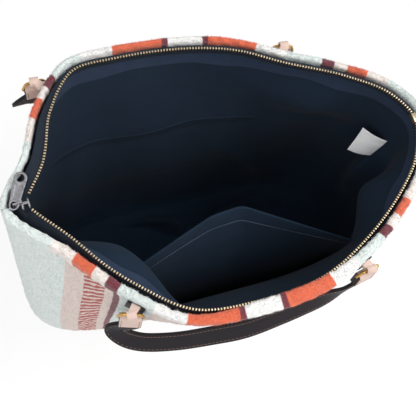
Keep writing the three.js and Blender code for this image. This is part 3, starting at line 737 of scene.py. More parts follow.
    @staticmethod
    def repeat(name: str, pattern: Piece, frames: Array, marks: Optional[Array] = None) -> Piece:
        """Copy one modelled shape to many places as one piece, and put the pattern away.

        Args:
            name: The piece's name.
            pattern: The shape, modelled at the origin.
            frames: One 4 by 4 matrix for each copy, in metres.
            marks: Cloth coordinates of each copy, if its finish asks for them.

        Returns:
            The piece that holds all copies.
        """
        points = Bench.points(pattern)
        points = np.hstack([points, np.ones((len(points), 1))])
        placed = np.einsum("nij,vj->nvi", frames, points)[:, :, :3].reshape(-1, 3)
        faces = [tuple(face.vertices) for face in pattern.data.polygons]
        starts = range(0, len(placed), len(points))
        whole = bpy.data.meshes.new(name)
        whole.from_pydata(placed.tolist(), [], [tuple(v + s for v in face) for s in starts for face in faces])
        whole.update()
        if marks is not None:
            layer = whole.uv_layers.new(name="cloth").data
            layer.foreach_set("uv", np.repeat(marks * MM, sum(map(len, faces)), axis=0).ravel())
        bpy.data.objects.remove(pattern, do_unlink=True)
        return Bench.linked(name, whole)

    @staticmethod
    def finish(
        piece: Piece, finish: Finish, body: str, slot: str, replaces: Sequence[str] = (), crease: float = 40.0
    ) -> None:
        """Shade a piece smooth, dress it and tie it to its body.

        Args:
            piece: The piece.
            finish: Its finish.
            body: The body that it rides on.
            slot: Name of a material slot; not used.
            replaces: CAD nodes that it stands for.
            crease: Angle in degrees past which an edge stays sharp.
        """
        Bench.pick(piece)
        bpy.ops.object.shade_smooth_by_angle(angle=math.radians(crease))
        piece.data.materials.clear()
        piece.data.materials.append(finish.material())
        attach(piece, body)
        if replaces:
            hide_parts(*replaces)
        log.info("%s: %d faces on %s", piece.name, len(piece.data.polygons), body)


def spline(points: Array, closed: bool, steps: int) -> Array:
    """Draw a centripetal curve through points.

    Args:
        points: Points to pass through.
        closed: True to come back to the first point.
        steps: Steps in each span.

    Returns:
        Points along the curve, the last one included.
    """
    count = len(points)
    drawn: List[Array] = []
    for i in range(count if closed else count - 1):
        p1, p2 = points[i], points[(i + 1) % count]
        p0 = points[i - 1] if closed or i > 0 else 2 * points[0] - points[1]
        p3 = points[(i + 2) % count] if closed or i + 2 < count else 2 * points[-1] - points[-2]
        d0, d1, d2 = (np.linalg.norm(b - a) ** 0.5 for a, b in ((p0, p1), (p1, p2), (p2, p3)))
        t1 = ((p1 - p0) / d0 - (p2 - p0) / (d0 + d1) + (p2 - p1) / d1) * d1
        t2 = ((p2 - p1) / d1 - (p3 - p1) / (d1 + d2) + (p3 - p2) / d2) * d1
        square = -3 * p1 + 3 * p2 - 2 * t1 - t2
        cube = 2 * p1 - 2 * p2 + t1 + t2
        drawn.extend(p1 + t1 * w + square * w * w + cube * w ** 3 for w in np.arange(steps) / steps)
    drawn.append(points[0] if closed else points[-1])
    return np.array(drawn)


def pair(first: Any, second: Any) -> Array:
    """Two coordinates side by side, one row for each point."""
    return np.stack(np.broadcast_arrays(first, second), axis=-1)


def lengths(path: Array) -> Array:
    """Running length along a path of points."""
    return np.concatenate([[0.0], np.cumsum(np.linalg.norm(np.diff(path, axis=0), axis=1))])


def walk(path: Array, run: Array, goal: Array) -> Array:
    """Points at given lengths along a path."""
    return np.stack([np.interp(goal, run, path[:, k]) for k in range(path.shape[1])], axis=-1)


def nearest(row: Array, rows: int) -> Array:
    """Whole rows from shares along a sheet."""
    return np.rint(row * rows).astype(int)


def run_at(row: Array, run: Array) -> Array:
    """Running length from shares along a sheet whose rows have these lengths."""
    return np.interp(row * (len(run) - 1), np.arange(len(run)), run)


def hump(value: Any, centre: Any, reach: float) -> Array:
    """A smooth rise to 1 at a centre, and 0 past its reach."""
    return (1 + np.cos(np.pi * np.minimum(np.abs(value - centre) / reach, 1))) / 2


def ridge(value: Any, centre: Any, width: float) -> Array:
    """A rise to 1 at a centre that dies away past its width on both sides."""
    return np.exp(-(((value - centre) / width) ** 2))


def lumps(spots: Array, short: float, long: float) -> Array:
    """An uneven height of about 1, made of waves in many directions.

    Args:
        spots: Flat points in millimetres.
        short: Shortest wave.
        long: Longest wave.

    Returns:
        One height for each point.
    """
    dice = np.random.default_rng(7)
    total = np.zeros(len(spots))
    for _ in range(18):
        turn, phase = dice.uniform(0, TURN, 2)
        wave = TURN / dice.uniform(short, long)
        total += np.sin((spots[:, 0] * math.cos(turn) + spots[:, 1] * math.sin(turn)) * wave + phase)
    return total / 3.0


def unit(vector: Array) -> Array:
    """A vector at length 1."""
    return vector / np.linalg.norm(vector, axis=-1, keepdims=True)


def level_out(along: Array, guide: Array) -> Array:
    """The level direction square to another, on the side of a guide."""
    out = np.array([along[1], -along[0], 0.0])
    return out if out @ guide > 0 else -out


def frames_of(along: Array, across: Array, spots: Array) -> Array:
    """Matrices from two axes, their cross product and millimetre spots, one for each row.

    Args:
        along: First axis.
        across: Second axis.
        spots: Origins in millimetres.

    Returns:
        Matrices in metres.
    """
    frames = np.zeros((len(spots), 4, 4))
    frames[:, :3, 0] = along
    frames[:, :3, 1] = across
    frames[:, :3, 2] = np.cross(along, across)
    frames[:, :3, 3] = spots * MM
    frames[:, 3, 3] = 1
    return frames


@dataclass
class BagForm:
    """The bag's wall, as points from a share round the mouth and a height in millimetres."""

    rim_height: float = 290.0
    mouth: Pair = (384.0, 262.0)
    belly_height: float = 85.0
    belly: Pair = (386.0, 167.0)
    base: Pair = (352.0, 128.0)
    corner_power: float = 3.9
    flare: float = 0.55
    middle: Pair = (2.06414, 2.57525)
    span_steps: int = 60
    tangent_reach: float = 0.016
    front: Tuple[Pair, ...] = (
        (-0.487, 0.03), (-0.378, -0.16), (-0.281, -0.324), (-0.161, -0.462),
        (0, -0.492), (0.156, -0.47), (0.292, -0.378), (0.414, -0.244), (0.479, -0.134),
    )
    back: Tuple[Pair, ...] = (
        (0.513, 0.023), (0.469, 0.156), (0.365, 0.267), (0.234, 0.359), (0.125, 0.443),
        (0, 0.489), (-0.161, 0.504), (-0.281, 0.485), (-0.372, 0.344), (-0.417, 0.198),
    )
    mouth_path: Array = field(init=False)
    mouth_run: Array = field(init=False)
    front_length: float = field(init=False)
    back_length: float = field(init=False)
    belly_path: Tuple[Array, Array] = field(init=False)
    base_path: Tuple[Array, Array] = field(init=False)

    def __post_init__(self) -> None:
        """Draw the outlines once."""
        outline = np.array([*self.front, *self.back]) * np.array(self.mouth)
        self.mouth_path = spline(outline, True, self.span_steps)
        self.mouth_run = lengths(self.mouth_path)
        self.front_length = float(self.mouth_run[self.span_steps * len(self.front)])
        self.back_length = float(self.mouth_run[-1]) - self.front_length
        self.belly_path = self._oblong(self.belly)
        self.base_path = self._oblong(self.base)

    @property
    def hub(self) -> Array:
        """The middle of the floor."""
        return np.array([-self.middle[0], -self.middle[1], 0.0])

    def _oblong(self, size: Pair) -> Tuple[Array, Array]:
        """A rounded oblong and its running length, as shares.

        Args:
            size: Its length and width.

        Returns:
            Points, and shares of the length at each.
        """
        angle = np.pi + np.linspace(0, TURN, 2001)
        way = pair(np.cos(angle), np.sin(angle))
        path = np.sign(way) * np.abs(way) ** (2 / self.corner_power) * np.array(size) / 2
        run = lengths(path)
        return path, run / run[-1]

    def front_share(self, arc: Any) -> Any:
        """Share round the mouth of a length along the front rim, from its middle to the right."""
        return 0.25 + 0.5 * arc / self.front_length

    def back_share(self, arc: Any) -> Any:
        """Share round the mouth of a length along the back rim, from its middle to the right."""
        return 0.75 - 0.5 * arc / self.back_length

    def wall(self, share: Any, height: Any) -> Array:
        """Points on the outside of the wool.

        Args:
            share: Shares round the mouth, the front first from left to right.
            height: Heights above the floor.

        Returns:
            Points in the CAD frame.
        """
        share, height = np.broadcast_arrays(np.asarray(share, float), np.asarray(height, float))
        turn = np.mod(share, 1.0)
        on_back = self.front_length + (turn - 0.5) * 2 * self.back_length
        arc = np.where(turn < 0.5, turn * 2 * self.front_length, on_back)
        mouth = walk(self.mouth_path, self.mouth_run, arc)
        belly = walk(*self.belly_path, turn)
        base = walk(*self.base_path, turn)
        low = 1 - (1 - np.clip(height / self.belly_height, 0, 1)) ** 2
        rise = np.clip((height - self.belly_height) / (self.rim_height - self.belly_height), 0, 1.1)
        high = (1 - self.flare) * rise + self.flare * rise * rise * (3 - 2 * rise)
        under = base + (belly - base) * low[..., None]
        over = belly + (mouth - belly) * high[..., None]
        flat = np.where((height < self.belly_height)[..., None], under, over) - np.array(self.middle)
        return np.concatenate([flat, height[..., None]], axis=-1)

    def inward(self, share: Any, height: Any) -> Array:
        """Level directions into the bag.

        Args:
            share: Shares round the mouth.
            height: Heights above the floor.

        Returns:
            Unit vectors.
        """
        ahead, behind = (self.wall(share + sense * self.tangent_reach, height) for sense in (1, -1))
        along = ahead - behind
        return unit(np.stack([-along[..., 1], along[..., 0], np.zeros_like(along[..., 0])], axis=-1))

    def inside(self, share: Any, inset: Any, height: Any) -> Array:
        """Points a given way in from the outside of the wool."""
        return self.wall(share, height) + self.inward(share, height) * np.asarray(inset)[..., None]


class Side(Enum):
    """Which half of the bag: its name, first and last share round the mouth, and its sense."""

    FRONT = ("front", 0.0, 0.5, 1)
    BACK = ("back", 0.5, 1.0, -1)

    @property
    def label(self) -> str:
        """The half's name in the CAD nodes."""
        return self.value[0]

    @property
    def sense(self) -> int:
        """1 where shares run from left to right, else -1."""
        return self.value[3]

    @staticmethod
    def eased(step: Array) -> Array:
        """Steps along a half, standing closer at the two ends of the bag."""
        return step - 0.6 * np.sin(TURN * step) / TURN

    def share(self, step: Array, trim: float) -> Array:
        """Shares round the mouth of eased steps, with a trim at both ends."""
        return self.value[1] + trim + (self.value[2] - self.value[1] - 2 * trim) * self.eased(step)


@dataclass
class WoolBody:
    """The two wool panels with their hems rolled in at the rim, and the base."""

    form: BagForm
    thickness: float = 2.6
    roll: float = 3.2
    back_roll: float = 2.6
    hem_depth: float = 8.0
    hem_flare: float = 0.4
    columns: int = 360
    wall_rows: int = 58
    roll_rows: int = 12
    leaf_rows: int = 4
    seam_gap: float = 0.2
    seam_draw: float = 0.9
    seam_width: float = 2.2
    seam_inset: float = 3.0
    rim_waves: Tuple[Triple, ...] = ((0.35, 71.0, 0.0), (0.3, 133.0, 1.0))
    wavy_depth: float = 50.0
    pattern_shift: float = 8.3
    pattern_narrow: float = 0.11
    pattern_depth: float = 200.0
    lump: float = 0.26
    lump_waves: Pair = (6.0, 18.0)
    lump_depth: float = 6.0
    plump: float = 1.6
    plump_past_rim: float = 8.0
    plump_reach: float = 7.0
    sag: float = 5.4
    sag_share: float = 0.27
    sag_reach: float = 0.12
    fibres: int = 14000
    fibre_span: Pair = (0.003, 0.997)
    fibre_radius: float = 0.24
    fibre_length: float = 2.8
    fibre_stretch: Pair = (0.5, 1.4)
    fibre_lean: float = 0.6
    fibres_on_rim: float = 0.6
    pull_spot: Pair = (-177.6, 6.0)
    pull_reach: float = 50.0
    base_gap: float = 0.6
    base_columns: int = 180
    base_rows: int = 16
    base_ground: Pair = (240.0, 100.0)
    base_squeeze: float = 0.2

    def section(self, roll: float) -> Array:
        """Inset and height from the floor, over the rolled rim, to the hem's inner edge.

        Args:
            roll: Radius of the rolled rim.

        Returns:
            One row for each step up the cloth.
        """
        top = self.form.rim_height
        wall = np.linspace(0.0, top - roll, self.wall_rows, endpoint=False)
        turn = np.linspace(0.0, np.pi, self.roll_rows, endpoint=False)
        leaf = np.linspace(0.0, 1.0, self.leaf_rows + 1)
        rolled = pair(roll - roll * np.cos(turn), top - roll + roll * np.sin(turn))
        hem = pair(2 * roll + self.hem_flare * leaf, top - roll - (self.hem_depth - roll) * leaf)
        return np.concatenate([pair(0.0, wall), rolled, hem])

    def panel(self, side: Side) -> None:
        """One panel as a fine lofted sheet.

        Args:
            side: Which panel.
        """
        in_front = side is Side.FRONT
        section = self.section(self.roll if in_front else self.back_roll)
        rows = len(section) - 1
        run = lengths(section)
        rim = self.form.front_length if in_front else self.form.back_length
        top = self.form.rim_height

        def place(step: Array, row: Array) -> Array:
            """Points of the panel, its seams drawn in, its rim a little uneven and its hem plump.

            Args:
                step: Shares across.
                row: Shares along.

            Returns:
                Points in millimetres.
            """
            k = nearest(row, rows)
            share = side.share(step, self.seam_gap / (2 * rim))
            inset, height = section[k, 0], section[k, 1]
            seam = np.minimum(step, 1 - step) * rim
            drawn = self.seam_draw * ridge(seam, 0.0, self.seam_width) * (inset < self.seam_inset)
            wave = sum(size * np.sin(share * turns + phase) for size, turns, phase in self.rim_waves)
            lift = np.clip((height - top) / self.wavy_depth + 1, 0, 1) * wave
            lumpy = self.lump * lumps(pair(share * 1000.0, run[k]), *self.lump_waves)
            over = self.plump + self.sag * hump(share, self.sag_share, self.sag_reach)
            hem = run[self.wall_rows] + self.plump_past_rim
            full = in_front * over * hump(run[k], hem, self.plump_reach)
            raised = height + lift + lumpy * (height > top - self.lump_depth)
            return self.form.inside(share, inset + drawn + lumpy + full, raised)

        def flat(step: Array, row: Array) -> Array:
            """Length along the rim from the panel's middle, and length up the cloth.

            Args:
                step: Shares across.
                row: Shares along.

            Returns:
                Cloth coordinates in millimetres.
            """
            height = run_at(row, run)
            narrow = 1 + self.pattern_narrow * np.clip((top - height) / self.pattern_depth, 0, 1)
            return pair(((side.eased(step) - 0.5) * rim + self.pattern_shift) * narrow, height)

        piece = Bench.sheet(f"wool_{side.label}", self.columns, rows, place, flat)
        Bench.thicken(piece, self.thickness, -1.0)
        Bench.finish(piece, WOOL, "bag", "wool", [f"{side.label}_panel"], 60.0)
        self.nap(side, place, flat, rows)

    def nap(self, side: Side, place: Place, flat: Place, rows: int) -> None:
        """Loose fibres that stand off the cloth, thickest along the rolled rim and worn off under the pull.

        Args:
            side: Which panel.
            place: The panel's points from shares across and along.
            flat: Its cloth coordinates from the same shares.
            rows: Steps along the panel.
        """
        dice = np.random.default_rng(11)
        count = self.fibres
        step = dice.uniform(*self.fibre_span, count)
        on_rim = dice.integers(self.wall_rows - 3, self.wall_rows + self.roll_rows, count)
        on_wall = dice.integers(4, self.wall_rows - 2, count)
        row = np.where(dice.uniform(size=count) < self.fibres_on_rim, on_rim, on_wall) / rows
        near = 0.002
        ahead = unit(place(step + near, row) - place(step - near, row))
        above = unit(place(step, row + 1 / rows) - place(step, row - 1 / rows))
        loose = dice.normal(0, self.fibre_lean, (count, 2))
        stand = unit(np.cross(ahead, above) + ahead * loose[:, :1] + above * loose[:, 1:])
        wide = unit(np.cross(stand, ahead + above * 0.3))
        spots = place(step, row)
        frames = frames_of(wide, np.cross(stand, wide), spots)
        frames[:, :3, 2] *= dice.uniform(*self.fibre_stretch, (count, 1))
        kept = np.linalg.norm(spots[:, :2] - np.array(self.pull_spot), axis=1) > self.pull_reach
        pattern = Bench.add(
            bpy.ops.mesh.primitive_cone_add, "fibre_pattern", vertices=3, end_fill_type="NOTHING",
            radius1=self.fibre_radius * MM, depth=self.fibre_length * MM,
        )
        piece = Bench.repeat(f"wool_nap_{side.label}", pattern, frames[kept], flat(step, row)[kept])
        Bench.finish(piece, WOOL, "bag", "wool", crease=80.0)

    def bottom(self) -> None:
        """The base, one oval of the same cloth."""

        def place(step: Array, row: Array) -> Array:
            """Points from the seam to the middle."""
            rim = self.form.inside(step, self.thickness + self.base_gap, 0.0)
            return rim + (self.form.hub - rim) * row[:, None]

        def flat(step: Array, row: Array) -> Array:
            """Lengths on the floor, squeezed and moved over to the plain ground of the stripes."""
            spot = place(step, row)
            return pair(spot[:, 0] * self.base_squeeze, spot[:, 1]) + np.array(self.base_ground)

        piece = Bench.sheet("wool_base", self.base_columns, self.base_rows, place, flat, True)
        with Bench.editing(piece):
            bpy.ops.mesh.normals_make_consistent(inside=True)
        Bench.thicken(piece, self.thickness, -1.0)
        Bench.finish(piece, WOOL, "bag", "wool", ["base_panel"], 60.0)

    def build(self) -> None:
        """Make the panels and the base."""
        for side in Side:
            self.panel(side)
        self.bottom()


@dataclass(frozen=True)
class Stitch:
    """One stitch of thread, lying along x."""

    length: float
    thickness: float

    def model(self) -> Piece:
        """A small spindle at the origin.

        Returns:
            The spindle.
        """
        piece = Bench.add(
            bpy.ops.mesh.primitive_uv_sphere_add, "stitch_pattern", segments=6, ring_count=4, radius=0.5 * MM
        )
        with Bench.editing(piece):
            bpy.ops.transform.rotate(value=math.pi / 2, orient_axis="Y", center_override=(0, 0, 0))
            bpy.ops.transform.resize(
                value=(self.length, self.thickness, self.thickness), center_override=(0, 0, 0)
            )
        return piece

    def sew(self, name: str, frames: Array, finish: Finish, body: str, slot: str) -> None:
        """Lay the stitch at every frame, as one piece of a finish on a body."""
        Bench.finish(Bench.repeat(name, self.model(), frames), finish, body, slot)


@dataclass
class LiningBag:
    """The slack lining, its slip pocket and the blank label. Folds are placed by shares of the wall."""

    form: BagForm
    thickness: float = 0.9
    standoff: float = 5.2
    foot: float = 7.1
    top: float = 280.7
    floor: float = 2.9
    columns: int = 420
    floor_rows: int = 34
    wall_rows: int = 70
    corner: float = 5.0
    corner_draw: float = 4.0
    mouth_length: float = 980.0
    row_length: float = 3.8
    floor_length: float = 83.6
    wall_slack: float = 10.0
    slack_place: Tuple[float, float, float, float] = (0.245, 0.17, 0.72, 0.28)
    leans: Tuple[Tuple[float, float, float, float, float], ...] = (
        (38.0, 0.105, 0.1, 0.86, 0.14), (30.0, 0.43, 0.065, 0.78, 0.22), (13.0, 0.61, 0.09, 0.8, 0.17),
    )
    creases: Tuple[Tuple[float, float, float, float], ...] = (
        (0.93, 0.30, 0.030, 2.6), (0.86, -0.22, 0.022, 2.2), (0.78, 0.12, 0.030, 2.4),
        (0.70, -0.10, 0.026, 2.8), (0.62, -0.24, 0.024, 2.6), (0.56, 0.10, 0.020, 2.4),
        (0.08, 0.10, 0.020, 1.8),
    )
    crease_level: float = 0.6
    crease_lean: float = 0.3
    level_fold: Tuple[float, ...] = (1.2, 0.62, 0.2, 0.8, 0.05)
    corner_fold: Tuple[float, ...] = (9.0, 0.663, 0.228, 0.25, 0.014)
    corner_span: Pair = (0.14, 0.34)
    plain_top: float = 0.12
    plain_foot: float = 0.1
    behind_pocket: Pair = (0.27, 0.2)
    broad_rucks: Tuple[Tuple[float, ...], ...] = (
        (11.0, 0.78, 0.07, 0.52, -2.4, 0.3), (8.0, 0.6, 0.06, 0.45, 2.0, 0.28),
    )
    sharp_rucks: Tuple[Tuple[float, ...], ...] = (
        (8.0, 0.8, 0.09, 0.42, -3.0, 0.06), (8.0, 0.64, 0.08, 0.3, 3.2, 0.06),
    )
    pocket_bend: float = 2.0
    pocket_ease: float = 0.018
    pocket_peaks: Tuple[Pair, ...] = ((-6.2, -24.0), (24.6, -21.6))
    pocket_columns: int = 150
    pocket_rows: Tuple[int, int, int] = (48, 7, 9)
    pocket_width: float = 272.0
    pocket_bottom: float = 66.0
    pocket_top: float = 212.0
    pocket_shift: float = -9.0
    pocket_hem: float = 14.0
    pocket_girth: float = 150.0
    hem_roll: float = 1.0
    hem_leaf: float = 1.9
    ripple: float = 0.5
    ripple_turns: float = 23.0
    ripple_place: Pair = (160.0, 60.0)
    stitch_count: int = 84
    stitch_span: Pair = (0.012, 0.988)
    stitch_faces: Pair = (-0.55, 2.5)
    stitch_rise: float = 2.0
    lift: float = 1.2
    seam_share: float = 0.5055
    seam_ridge: float = 16.0
    seam_width: float = 0.011
    seam_span: Pair = (0.5, 0.34)
    label_width: float = 28.0
    label_length: float = 32.0
    label_thickness: float = 0.5
    label_steps: int = 24
    label_top: float = 222.0
    label_lies: Tuple[Triple, ...] = ((-21.0, 19.5, 2.0), (-25.3, 9.6, 8.0))
    label_swell: float = 1.6
    label_tuck: float = 2.4
    label_waves: float = 17.0
    label_fade: float = 5.0

    def inset(self, share: Array, height: Any, slack: float) -> Array:
        """How far in from the outside of the wool the lining's outer face hangs.

        Args:
            share: Shares round the mouth.
            height: Heights above the floor.
            slack: How far the front hangs in, at most.

        Returns:
            Insets in millimetres.
        """
        rise = (height - self.floor) / (self.top - self.floor)
        plain = self.standoff + (self.foot - self.standoff) * rise ** 2
        lean = sum(
            reach * hump(share, centre, width) * hump(rise, level, depth)
            for reach, centre, width, level, depth in ((slack, *self.slack_place), *self.leans)
        )
        return plain + lean + self.folds(share, rise)

    def folds(self, share: Array, rise: Any) -> Array:
        """Soft folds, none at the sewn top edge or behind the pocket.

        Args:
            share: Shares round the mouth.
            rise: Shares of the wall's height.

        Returns:
            Insets in millimetres.
        """
        edges = np.clip((1 - rise) / self.plain_top, 0, 1) * np.clip(rise / self.plain_foot, 0, 1)
        free = edges * (1 - hump(share, *self.behind_pocket))
        upright = sum(
            depth * ridge(share, centre + lean * (rise - self.crease_level) * self.crease_lean, width)
            for centre, lean, width, depth in self.creases
        )
        size, middle, slope, start, width = self.level_fold
        level = size * ridge(rise, middle + slope * (share - start), width) * (share > Side.BACK.value[1])
        seam = self.seam_ridge * ridge(share, self.seam_share, self.seam_width)
        seam = seam * hump(rise, *self.seam_span)
        size, middle, slope, start, width = self.corner_fold
        corner = size * ridge(share, middle + slope * (rise - start), width)
        corner = corner * hump(rise, *self.corner_span)
        return (upright + level + seam + corner) * free

    def rucks(self, share: Array, reach: Array) -> Array:
        """Heights of the floor's folds, from shares round the mouth and from the wall to the middle.

        Args:
            share: Shares round the mouth.
            reach: Shares from the wall to the middle.

        Returns:
            Heights in millimetres.
        """
        total = np.zeros_like(share)
        for shape, folds in ((hump, self.broad_rucks), (ridge, self.sharp_rucks)):
            for height, centre, width, level, drift, depth in folds:
                across = shape(reach, level + drift * (share - centre), depth)
                total += height * hump(share, centre, width) * across
        return total

    def point(self, share: Array, extra: Any, height: Any, slack: float = 0.0) -> Array:
        """Points a given way in from the lining's outer face."""
        return self.form.inside(share, self.inset(share, height, slack) + extra, height)

    def cup(self) -> None:
        """The lining as one cup, from the middle of its floor up to its sewn edge."""
        rows = self.floor_rows + self.wall_rows

        def place(step: Array, row: Array) -> Array:
            """Points across the floor, then up the wall.

            Args:
                step: Shares across.
                row: Shares along.

            Returns:
                Points in millimetres.
            """
            k = row * rows
            rise = np.clip((k - self.floor_rows) / self.wall_rows, 0, 1)
            height = self.floor + (self.top - self.floor) * rise
            reach = np.clip(1 - k / self.floor_rows, 0, 1)
            spot = self.point(step, 0.0, height, self.wall_slack)
            spot[:, :2] += (self.form.hub - spot)[:, :2] * reach[:, None]
            draw = self.corner_draw * np.exp(-(height - self.floor) / self.corner) * (reach < 0.02)
            spot += self.form.inward(step, height) * draw[:, None]
            return spot + UP * self.rucks(step, reach)[:, None]

        def flat(step: Array, row: Array) -> Array:
            """Length round the mouth and length up the wall."""
            return pair(step * self.mouth_length, row * rows * self.row_length - self.floor_length)

        piece = Bench.sheet("lining_cup", self.columns, rows, place, flat, True)
        Bench.thicken(piece, self.thickness, -1.0)
        Bench.finish(piece, LINING_CLOTH, "bag", "navy", ["lining"], 60.0)

    def pocket_share(self, step: Array) -> Array:
        """Share round the mouth of a share across the pocket."""
        return self.form.front_share(self.pocket_shift + self.pocket_width * (step - 0.5))

    def hem_line(self, step: Array) -> Array:
        """Level places of the pocket's slack hem, drawn straight from its sewn ends to two peaks.

        Args:
            step: Shares across the pocket.

        Returns:
            Places seen from above, in millimetres.
        """
        sewn = self.pocket_share(np.array([0.0, 1.0]))
        ends = self.point(sewn, self.thickness + self.lift, self.pocket_top)
        knots = np.array([ends[0, :2], *self.pocket_peaks, ends[1, :2]])
        run = lengths(knots)
        ease = self.pocket_ease * np.minimum(1, 8 * np.minimum(step, 1 - step))
        return sum(walk(knots, run, (step + shift * ease) * run[-1]) for shift in (-1, 0, 1)) / 3

    def pocket_point(self, step: Array, extra: Any, height: Any) -> Array:
        """Points of the pocket, drawn further to the hem's line the higher they are.

        Args:
            step: Shares across the pocket.
            extra: Way in from its outer face.
            height: Heights above the floor.

        Returns:
            Points in millimetres.
        """
        share = self.pocket_share(step)
        out = self.thickness + self.lift
        sewn = self.point(share, out, self.pocket_top, self.wall_slack)
        rise = np.clip((height - self.pocket_bottom) / (self.pocket_top - self.pocket_bottom), 0, 1.05)
        pull = np.broadcast_to(rise ** self.pocket_bend, step.shape)
        spot = self.point(share, out + extra, height, self.wall_slack)
        spot[:, :2] += (self.hem_line(step) - sewn[:, :2]) * pull[:, None]
        return spot

    def pocket(self) -> None:
        """The slip pocket, its hem folded back and sewn down."""
        brow = self.pocket_top - self.hem_roll
        climbs, turns, falls = self.pocket_rows
        up = np.linspace(self.pocket_bottom, brow, climbs)
        turn = np.linspace(0, np.pi, turns)[1:]
        over = pair(1.0 - np.cos(turn), np.sin(turn)) * self.hem_roll + np.array([0.0, brow])
        down = np.linspace(brow, self.pocket_top - self.pocket_hem, falls)[1:]
        section = np.concatenate([pair(0.0, up), over, pair(self.hem_leaf, down)])
        rows = len(section) - 1
        run = lengths(section)
        span = lengths(self.pocket_point(np.linspace(0, 1, 200), 0.0, self.pocket_girth))[-1]

        def place(step: Array, row: Array) -> Array:
            """Points up the pocket and over its hem.

            Args:
                step: Shares across.
                row: Shares along.

            Returns:
                Points in millimetres.
            """
            k = nearest(row, rows)
            ripple = self.ripple * np.sin(step * self.ripple_turns)
            ripple = ripple * hump(section[k, 1], *self.ripple_place)
            return self.pocket_point(step, section[k, 0] + ripple, section[k, 1])

        def flat(step: Array, row: Array) -> Array:
            """Lengths across and up the cloth."""
            return pair(step * span, run_at(row, run))

        piece = Bench.sheet("slip_pocket", self.pocket_columns, rows, place, flat)
        Bench.thicken(piece, self.thickness)
        Bench.finish(piece, POCKET_CLOTH, "bag", "navy", ["pocket"], 60.0)
        self.hem_stitches()

    def hem_stitches(self) -> None:
        """The row of stitches that holds the pocket's hem, seen on both faces."""
        steps = np.linspace(*self.stitch_span, self.stitch_count)
        level = self.pocket_top - self.pocket_hem + self.stitch_rise
        rows: List[Array] = []
        for face in self.stitch_faces:
            spots = self.pocket_point(steps, face, level)
            along = unit(np.gradient(spots, axis=0))
            rows.append(frames_of(along, unit(np.cross(UP, along)), spots))
        Stitch(2.4, 0.6).sew("pocket_stitches", np.concatenate(rows), SLATE_THREAD, "bag", "navy")

    def label(self) -> None:
        """The blank label, sewn into the side seam by one edge and standing off the back wall."""
        high, low = (unit(np.array(way)) * self.label_width for way in self.label_lies)
        bow = unit(np.cross(high + low, UP))

        def place(step: Array, row: Array) -> Array:
            """Points from the sewn edge out to the free one, the rows down the seam.

            Args:
                step: Shares across.
                row: Shares along.

            Returns:
                Points in millimetres.
            """
            share = np.full_like(step, self.seam_share)
            height = self.label_top - self.label_length * row
            sewn = self.point(share, self.thickness + self.lift, height)
            tuck = self.label_tuck * np.sin(row * self.label_waves) * np.exp(-self.label_fade * step) * step
            swell = self.label_swell * np.sin(np.pi * step) + tuck
            return sewn + (high + (low - high) * row[:, None]) * step[:, None] - bow * swell[:, None]

        def flat(step: Array, row: Array) -> Array:
            """Lengths across and down the label."""
            return pair(step * self.label_width, row * self.label_length)

        piece = Bench.sheet("blank_label", self.label_steps, self.label_steps, place, flat)
        Bench.thicken(piece, self.label_thickness)
        Bench.round_edges(piece, 0.12, 1, 60.0)
        Bench.finish(piece, LABEL_CLOTH, "bag", "satin", ["label"], 60.0)

    def build(self) -> None:
        """Make the lining, the pocket and the label."""
        self.cup()
        self.pocket()
        self.label()


